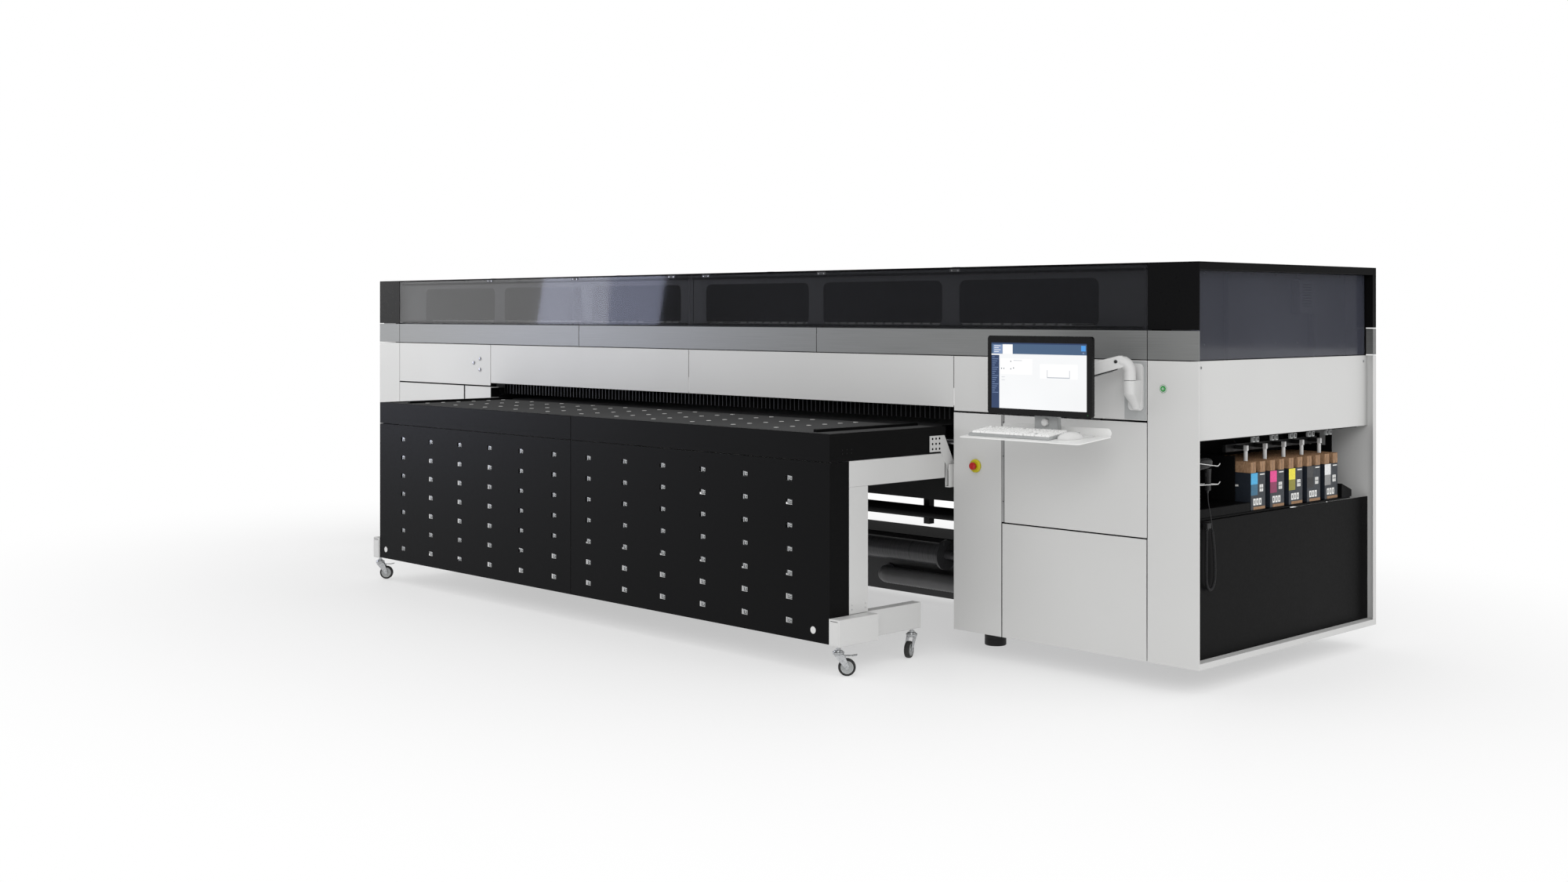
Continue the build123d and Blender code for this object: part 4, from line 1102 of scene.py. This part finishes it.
def monitor():
    low, high = limits("monitor")
    tilt = to_mm(JOINTS["monitor_tilt"]["pos_m"])
    x0, x1, z0, z1 = low.x, high.x, low.z, high.z
    part = Part("monitor_display")
    part.prism(rounded(x0, x1, z0, z1, 10), "y", -300, -282, BEZEL, edge=2.4)
    part.prism(rounded(x0 + 6, x1 - 6, z0 + 6, z1 - 6, 8), "y", -300.5, -298, BEZEL, edge=0.4)
    hump = rounded(x0 + 60, x1 - 60, z0 + 45, z1 - 45, 20)
    part.prism(hump, "y", -283, -268, BLACK_PLASTIC, edge=5)
    for i in range(22):
        x = x0 + 140 + 12 * i
        part.box((x, x + 5), (-269, -267.4), (z1 - 92, z1 - 62), BEZEL, edge=0.4)
    part.box((tilt.x - 30, tilt.x + 30), (-269, -252), (tilt.z - 10, tilt.z + 10), BLACK_PLASTIC, 2)
    glow = {name: glowing(name, colour) for name, colour in SCREEN.items()}
    left, bottom, width, height = x0 + SCREEN_LEFT, z0 + SCREEN_BOTTOM, SCREEN_WIDE, SCREEN_TALL

    def area(u0, u1, v0, v1, name, layer=1):
        """A lit area: fractions from the screen's left and top."""
        part.box(
            (left + u0 * width, left + u1 * width), (-300.4 - 0.14 * layer, -300.2),
            (bottom + (1 - v1) * height, bottom + (1 - v0) * height), glow[name], edge=0,
        )

    area(0, 1, 0, 1, "ui_body")
    area(0, 1, 0, 0.02, "ui_navy", 2)
    area(0, 1, 0.02, 0.17, "ui_blue", 2)
    area(0, 0.085, 0.19, 1, "ui_navy", 2)
    area(0.02, 0.12, 0.03, 0.165, "ui_pale", 3)
    area(0.122, 0.23, 0.025, 0.17, "ui_white", 3)
    area(0.945, 0.99, 0.03, 0.11, "ui_icon", 3)
    area(0.96, 0.975, 0.13, 0.15, "ui_pale", 3)
    for i in range(4):
        area(0.03, 0.10 - 0.02 * (i % 2), 0.045 + 0.03 * i, 0.053 + 0.03 * i, "ui_white", 4)
    for i in range(18):
        reach = 0.035 + 0.013 * ((i * 7) % 4)
        area(0.008, reach, 0.215 + 0.032 * i, 0.222 + 0.032 * i, "ui_pale", 3)
    area(0.10, 0.44, 0.24, 0.48, "ui_white", 2)
    area(0.52, 0.91, 0.31, 0.53, "ui_white", 2)
    area(0.24, 0.33, 0.265, 0.272, "ui_line", 3)
    for u, v in ((0.205, 0.275), (0.205, 0.39), (0.235, 0.375), (0.105, 0.385), (0.13, 0.385)):
        area(u, u + 0.01, v, v + 0.016, "ui_dark", 3)
    for v in (0.52, 0.565):
        area(0.11, 0.145, v, v + 0.006, "ui_line", 3)
    area(0.595, 0.83, 0.505, 0.52, "ui_line", 3)
    for u in (0.595, 0.825):
        area(u, u + 0.005, 0.40, 0.51, "ui_line", 3)
    part.disc((x1 - 20, -300.4, z0 + 12), 1.6, 1, "y", GREEN, 0.2, 14)
    part.finish("monitor", "black_plastic", "monitor")


TRAY_SLOPE = 4.8


def tray_turn():
    """The tray's slope about its front edge."""
    hinge = Vector((0, -440, 1014.5))
    spin = Matrix.Rotation(math.radians(TRAY_SLOPE), 4, "X")
    return Matrix.Translation(hinge) @ spin @ Matrix.Translation(-hinge)


def tray():
    turn = tray_turn()
    part = Part("keyboard_shelf")
    part.prism(rounded(2233, 2843, -440, -214, 10), "z", 1012, 1016, TRAY_WHITE, 1.2, turn)
    lip = rounded(2290, 2843, 1013, 1048, 16)
    part.prism(lip, "y", -218, -214.5, TRAY_WHITE, 1.0, turn)
    part.finish("station_head", "white_paint", "keyboard_tray")


KEY_UNIT = 17.7
KEY_ROWS = (  # key widths in units, from the front row to the back; negative ones are gaps
    (1.25, 1.25, 1.25, 6.25, 1.25, 1.25, 1.25, 1.25, -0.25, 1, 1, 1, -0.25, 2, 1, 1),
    (2.25, *[1] * 10, 2.75, -1.25, 1, -1.25, 1, 1, 1, 1),
    (1.75, *[1] * 11, 2.25, -3.5, 1, 1, 1, 1),
    (1.5, *[1] * 12, 1.5, -0.25, 1, 1, 1, -0.25, 1, 1, 1, 1),
    (*[1] * 13, 2, -0.25, 1, 1, 1, -0.25, 1, 1, 1, 1),
    (1, -1, 1, 1, 1, 1, -0.5, 1, 1, 1, 1, -0.5, 1, 1, 1, 1, -0.25, 1, 1, 1, -0.25, 1, 1, 1, 1),
)


def keyboard():
    turn = tray_turn()
    part = Part("keyboard_and_mouse")
    x0, y0, z = limits("keyboard")[0].x, -402.0, 1016.0
    side = [(y0, z + 1), (y0 + 4, z), (y0 + 150, z), (y0 + 150, z + 15), (y0 + 140, z + 16)]
    side += [(y0 + 8, z + 11), (y0, z + 7)]
    # Keyboard body in grey plastic, darker than the keys: where it shows between the keys, its grey
    # is partly painted shade for the gaps.
    part.prism(side, "x", x0, x0 + 418, GREY_PLASTIC, 2.5, turn)
    for row, widths in enumerate(KEY_ROWS):
        x = x0 + 9.5
        y = y0 + 15 + 20.5 * row + (6 if row == 5 else 0)
        base = z + 11 + 0.9 * row
        for width in widths:
            if width < 0:
                x -= width * KEY_UNIT
                continue
            right = x + width * KEY_UNIT
            wide, narrow = (x + 0.8, right - 0.8), (x + 2.4, right - 2.4)
            bottom = [(wide[0], y + 1, base), (wide[1], y + 1, base), (wide[1], y + 18, base)]
            bottom.append((wide[0], y + 18, base))
            top = [(narrow[0], y + 3, base + 7.5), (narrow[1], y + 3, base + 7.5)]
            top += [(narrow[1], y + 16, base + 8.2), (narrow[0], y + 16, base + 8.2)]
            part.loft([bottom, top], KEY_PLASTIC, turn)
            x = right
    rings = []
    for k in range(9):
        height = math.sin(math.pi / 2 * k / 8)
        spread = math.cos(math.pi / 2 * k / 8) if k < 8 else 0.02
        ring = []
        for i in range(36):
            angle = 2 * math.pi * i / 36
            reach = 31 * spread * math.cos(angle) * (1 - 0.08 * math.sin(angle))
            ring.append((reach, 53 * spread * math.sin(angle), z + 0.5 + 29 * height))
        rings.append(ring)
    mouse = turn @ about_z(2724, -330, -45)
    part.loft(rings, WHITE_PLASTIC, mouse)
    part.box((-2, 2), (18, 40), (z + 19, z + 25.5), GREY_PLASTIC, 0.8, mouse)
    part.rope(
        [(0, 52, z + 6), (0, 60, z + 5), (-2, 80, z + 3), (-14, 96, z + 2.4), (-36, 104, z + 2.4)],
        1.7, WHITE_PLASTIC, 8, mouse,
    )
    part.finish("station_head", "white_plastic", "keyboard")


# ================= board table =================

HOLE_COLS, HOLE_ROWS = 12, 7
HOLE_PITCH_X, HOLE_PITCH_Z, HOLE_TOP_Z = 283.4, 102.5, 818.0
GLIDE_COLS, GLIDE_ROWS = 12, 6
GLIDE_PITCH_X, GLIDE_PITCH_Y, GLIDE_FRONT_Y = 288.0, 104.0, -600.0


def glides():
    bed = limits("table_top")[1].z
    part = Part("glide_buttons")
    for col in range(GLIDE_COLS):
        for row in range(GLIDE_ROWS):
            x = GLIDE_PITCH_X * (col - (GLIDE_COLS - 1) / 2)
            y = GLIDE_FRONT_Y + GLIDE_PITCH_Y * row
            profile = [(0, 0), (12, 0), (12, 0.9), (10.6, 1.8), (3, 1.8), (2.4, 1.2), (0, 1.2)]
            part.turned(profile, (x, y, bed), "z", GLIDE, 20)
    part.finish("table", "grey_plastic", "table_trim")


def pocket_clips():
    """A bent spring tab and its latch behind each punched pocket, and the round plugs."""
    front = limits("table_panels")[0].y
    part = Part("pocket_clips")
    for col in range(HOLE_COLS):
        for row in range(HOLE_ROWS):
            x = HOLE_PITCH_X * (col - (HOLE_COLS - 1) / 2)
            z = HOLE_TOP_Z - HOLE_PITCH_Z * row
            backing = (z - 11.5, z + 11.5)
            part.box((x - 19, x + 19), (front + 9, front + 10.5), backing, DARK_SHEET, 0.3)
            part.box((x - 3, x + 17), (front + 4, front + 9), (z - 8, z + 8), GREY_PLASTIC, 1.4)
            part.box((x - 12, x - 7), (front + 4, front + 9), (z - 11, z + 11), ZINC, 0.8)
            part.box((x - 7, x + 4), (front + 5, front + 7), (z + 4, z + 10), ZINC, 0.6)
            part.disc((x + 9, front + 3.8, z - 1), 3.2, 1.4, "y", DARK_STEEL, 0.3, 14)
    for x, z in ((1707.5, 179.0), (-1740.5, 180.0)):
        plug = [(0, 0), (15.5, 0), (15.5, 1.2), (14, 2), (5, 2), (4.4, 1.6), (0, 1.6)]
        part.turned(plug, (x, front, z), FORWARD, WHITE_PLASTIC, 36)
    part.finish("table", "grey_plastic")


def table_fittings():
    """Screws, end caps and small slots of the table's frame and apron."""
    front = limits("table_frame")[0].y
    panel_low, panel_high = limits("table_panels")
    part = Part("table_fittings")
    for side in (1, -1):
        x = side * panel_high.x
        for y in (-700, -672, -644):
            for z in (932, 948):
                part.disc((x + side * 0.3, y, z), 3.6, 1.4, "x", BLACK_GLOSS, 0.3, 16)
                part.disc((x + side * 1.0, y, z), 1.8, 0.6, "x", DARK_STEEL, 0.1, 6)
        for y in (-560, -340):
            part.disc((x + side * 0.3, y, 985), 3.2, 1.2, "x", BLACK_GLOSS, 0.3, 16)
        strap = side * 1810
        for y in (-120, -96, -72):
            for z in (920, 943, 966):
                part.disc((strap + side * 0.1, y, z), 5.2, 1.6, "x", BLACK, 0.4, 18)
        leg = side * 1806
        for y in (-640, -555):
            for z in (262, 280):
                part.disc((leg + side * 0.2, y, z), 3.0, 1.2, "x", ZINC, 0.3, 14)
        slot = (front - 0.4, front + 0.6)
        part.box((side * 1816, side * 1858), slot, (230, 232.5), DARK_STEEL, 0.2)
        cap = (front - 0.8, front + 1)
        part.box((side * 1812, side * 1862), cap, (132, 226), TABLE_WHITE, 0.7)
    for x in (-903, 903):
        for z in (872, 170):
            part.disc((x, panel_low.y - 0.2, z), 3.4, 1.4, "y", BLACK_GLOSS, 0.3, 16)
    part.finish("table", "zinc")


# ================= casters =================


def caster_frame(corner):
    """Stem position and the turn that lays shapes along the wheel's trail."""
    stem = to_mm(JOINTS[f"caster_{corner}_swivel"]["pos_m"])
    axle = to_mm(JOINTS[f"caster_{corner}_roll"]["pos_m"])
    trail = Vector((axle.x - stem.x, axle.y - stem.y))
    turn = about_z(stem.x, stem.y, math.degrees(math.atan2(trail.y, trail.x)))
    return turn, trail.length, axle.z


def caster_fork(corner):
    turn, trail, axle_z = caster_frame(corner)
    braked = f"caster_brake_{corner}" in NODES
    part = Part(f"caster_{corner}_fork")
    stem = [(0, 102), (7.5, 102), (7.5, 125), (6.5, 126), (0, 126)]
    part.turned(stem, (0, 0, 0), "z", ZINC, 24, turn)
    part.disc((0, 0, 112), 12.5, 5, "z", ZINC, 1, 6, turn)
    race = [(0, 98), (17, 98), (24, 96), (25.5, 99), (24.5, 102), (20, 104), (19, 107.5)]
    race += [(12, 109), (0, 109)]
    part.turned(race, (0, 0, 0), "z", ZINC, 40, turn)
    crown = [(0, 89), (21, 89), (24, 91.5), (24, 95), (21, 97), (0, 97)]
    part.turned(crown, (0, 0, 0), "z", ZINC, 40, turn)
    leg = [(-20, 93), (21, 93), (28, 84), (trail + 8, 46)]
    leg += [
        (trail + 9 * math.cos(math.radians(a)), axle_z + 9 * math.sin(math.radians(a)))
        for a in (20, -10, -40, -70, -100, -130, -160)
    ]
    leg += [(4, 62), (-12, 80)]
    for side in (-1, 1):
        y = side * 15.5
        part.prism(leg, "y", y - 1.25, y + 1.25, ZINC, 0.5, turn)
        part.disc((trail, side * 17.6, axle_z), 7.5, 3.4, "y", ZINC, 1.0, 6, turn)
        part.disc((trail, side * 19.4, axle_z), 4.0, 2.0, "y", ZINC, 0.6, 20, turn)
    part.box((-20, 20), (-16, 16), (90, 93), ZINC, 1, turn)
    if braked:
        part.disc((18, 0, 86), 1.5, 35, "y", RAIL_STEEL, 0.3, 14, turn)
    part.finish(f"caster_fork_{corner}", "zinc", f"caster_fork_{corner}")


def caster_wheel(corner):
    turn, trail, axle_z = caster_frame(corner)
    part = Part(f"caster_{corner}_wheel")
    tyre = [(27, -11), (31, -12), (34.5, -11.4), (36.6, -9), (37.4, -4), (37.5, 0)]
    tyre += [(r, -h) for r, h in reversed(tyre[:-1])]
    part.turned(tyre + [tyre[0]], (trail, 0, axle_z), "y", TYRE, 56, turn)
    hub = [(4.1, -13.4), (8.5, -13.4), (9.5, -12), (10, -8.5), (22, -8.5), (23.5, -11)]
    hub.append((27.2, -11.6))
    hub += [(r, -h) for r, h in reversed(hub)]
    part.turned(hub + [hub[0]], (trail, 0, axle_z), "y", GREY_PLASTIC, 48, turn)
    centre = turn @ Matrix.Translation(Vector((trail, 0, axle_z)))
    for k in range(5):
        spin = centre @ Matrix.Rotation(2 * math.pi * k / 5, 4, "Y")
        for side in (-1, 1):
            y = mirrored(side, 8, 10.6)
            part.box((9, 23), y, (-2, 2), GREY_PLASTIC, 0.8, spin)
    part.finish(f"caster_wheel_{corner}", "caster_rubber", f"caster_wheel_{corner}")


def caster_brake(corner):
    turn, _, _ = caster_frame(corner)
    part = Part(f"caster_{corner}_brake_lever")
    part.box((18, 62), (-11, 11), (84.6, 87), ZINC, 0.8, turn)
    part.disc((18, 0, 86), 3, 22, "y", ZINC, 0.5, 18, turn)
    pedal = [(58, 84.5), (64, 83.6), (80, 87.6), (80, 90), (64, 87.6), (58, 87)]
    part.prism(pedal, "y", -14, 14, ZINC, 0.6, turn)
    for k in range(5):
        t = 64 + 3.4 * k
        part.box((t, t + 1.6), (-13, 13), (87.2 + 0.55 * k, 89.0 + 0.5 * k), ZINC, 0.4, turn)
    part.finish(f"caster_brake_{corner}", "zinc", f"caster_brake_{corner}")


# ================= base details =================

FEET = ((1864, 260), (1880, 1200), (2665, 740))


def feet():
    part = Part("levelling_pads")
    pad = [(0, 0), (47, 0), (50, 3), (50, 30), (49, 31), (49, 33), (50, 34), (50, 62)]
    pad += [(47, 66), (0, 66)]
    stem = [(0, 65), (13, 65), (13, 101), (0, 101)]
    for x, y in FEET:
        for side in (1, -1):
            part.turned(pad, (side * x, y, 0), "z", BLACK_PLASTIC, 48)
            part.turned(stem, (side * x, y, 0), "z", ZINC, 24)
            part.disc((side * x, y, 71), 20, 10, "z", ZINC, 1.5, 6)
            for k in range(7):
                part.disc((side * x, y, 79 + 3.2 * k), 13.7, 1.4, "z", ZINC, 0.5, 24)
    part.finish("printer", "black_plastic", "levelling_feet")


HOSE_Y, HOSE_Z, HOSE_R, HOSE_BEND = 546.0, 190.0, 42.0, 60.0
WINDER_HALF, WINDER_BACK, WINDER_TOP = 1820.0, 916.0, 400.0


def winder():
    """Winder cabinet of bolted sheets, its ledge, and the ribbed hose in front."""
    part = Part("winder_cabinet")
    half, back, top = WINDER_HALF, WINDER_BACK, WINDER_TOP
    part.box((-half, half), (600, back), (top - 4, top), BLACK, 1.2)
    for x0, x1 in ((-half, -608), (-604, 604), (608, half)):
        part.box((x0, x1), (610, 614), (101, top - 4), WINDER, 1.2)
        part.box((x0, x1), (back - 4, back), (145, top - 4), WINDER, 1.2)
        part.box((x0 + 60, x1 - 60), (607.5, 610.5), (300, 372), WINDER, 1.0)
    part.box((-half, half), (614, back), (141, 145), BLACK, 1.0)
    for side in (1, -1):
        part.box((side * (half - 4), side * half), (614, back - 4), (145, top - 4), WINDER, 1.0)
    part.box((-half, half), (592, 610), (262, 280), DARK_SHEET, 2.0)
    part.box((-half, half), (600, 610), (top - 22, top - 4), WINDER, 2.0)
    for k in range(13):
        x = -1770 + 295 * k
        part.disc((x, 609, top - 30), 4.5, 3, "y", DARK_STEEL, 0.8, 6)
        part.disc((x, 609, 292), 4.5, 3, "y", DARK_STEEL, 0.8, 6)
    part.finish("printer", "black_paint", "winder_housing")

    hose = Part("exhaust_hose")
    line = [(1790 - 9 * k, HOSE_Y, HOSE_Z) for k in range(95)]
    end = line[-1][0]
    for k in range(1, 11):
        angle = math.radians(9 * k)
        line.append((
            end - HOSE_BEND * math.sin(angle), HOSE_Y + HOSE_BEND * (1 - math.cos(angle)), HOSE_Z,
        ))
    radii = [HOSE_R if k % 2 else HOSE_R - 4.0 for k in range(len(line))]
    hose.rope(line, radii, HOSE, 32)
    hose.disc((1786, HOSE_Y, HOSE_Z), HOSE_R + 3, 12, "x", ZINC, 1.5, 36)
    hose.disc((end - HOSE_BEND, 604, HOSE_Z), HOSE_R + 6, 9, "y", DARK_SHEET, 1.5, 40)
    hose.finish("printer", "black_plastic")


ROOF_JOINTS = (-1830, -610, 610, 1830)


def panel_screws():
    """Small screws on the end panels and the back, and cover strips over the roof's joints."""
    part = Part("panel_screws")
    end = limits("rear_panels")[1].x
    low, high = limits("upper_frame")
    roof = high.z
    for x in ROOF_JOINTS:
        strip = (low.y + 12, high.y - 12)
        part.box((x - 18, x + 18), strip, (roof - 1, roof + 1.2), BLACK_GLOSS, 0.6)
        for k in range(6):
            part.disc((x, low.y + 60 + 272 * k, roof + 1.2), 5.5, 1.2, "z", DARK_STEEL, 0.4, 18)
    for x in range(-1500, 1600, 500):
        for z in (1200, 1316):
            part.disc((x, high.y + 0.3, z), 5, 1.6, "y", RAIL_STEEL, 0.4, 18)
    for side in (1, -1):
        for y in (78, 1436):
            part.disc((side * (end + 0.4), y, 1310), 6.5, 1.6, "x", GREY_PLASTIC, 0.4, 18)
            part.disc((side * (end + 1.2), y, 1310), 3.2, 0.5, "x", DARK_STEEL, 0.1, 6)
        for y in (60, 1420):
            part.disc((side * (end + 0.2), y, 640), 4, 1.4, "x", BLACK_GLOSS, 0.3, 16)
        for x in (1905, 2500, 2800):
            part.disc((side * x, 1480.3, 1290), 5, 1.6, "y", RAIL_STEEL, 0.4, 18)
    part.finish("printer", "zinc")


# ================= build =================

camera()
studio()
floor()
curly_lead()
dress_cad()
window_frame()
hood(1)
hood(-1)
groove_seals()
cabinet_fittings()
controls()
emergency_button()
start_button()
for ink_name in INKS:
    ink_carton(ink_name)
ink_couplings()
scanner_holder()
hand_scanner()
wall_mount()
arm_link()
head_bracket()
monitor()
tray()
keyboard()
glides()
pocket_clips()
table_fittings()
for joint in JOINTS:
    if joint.endswith("_roll"):
        place = joint.removeprefix("caster_").removesuffix("_roll")
        caster_fork(place)
        caster_wheel(place)
        if f"caster_brake_{place}" in NODES:
            caster_brake(place)
feet()
winder()
panel_screws()
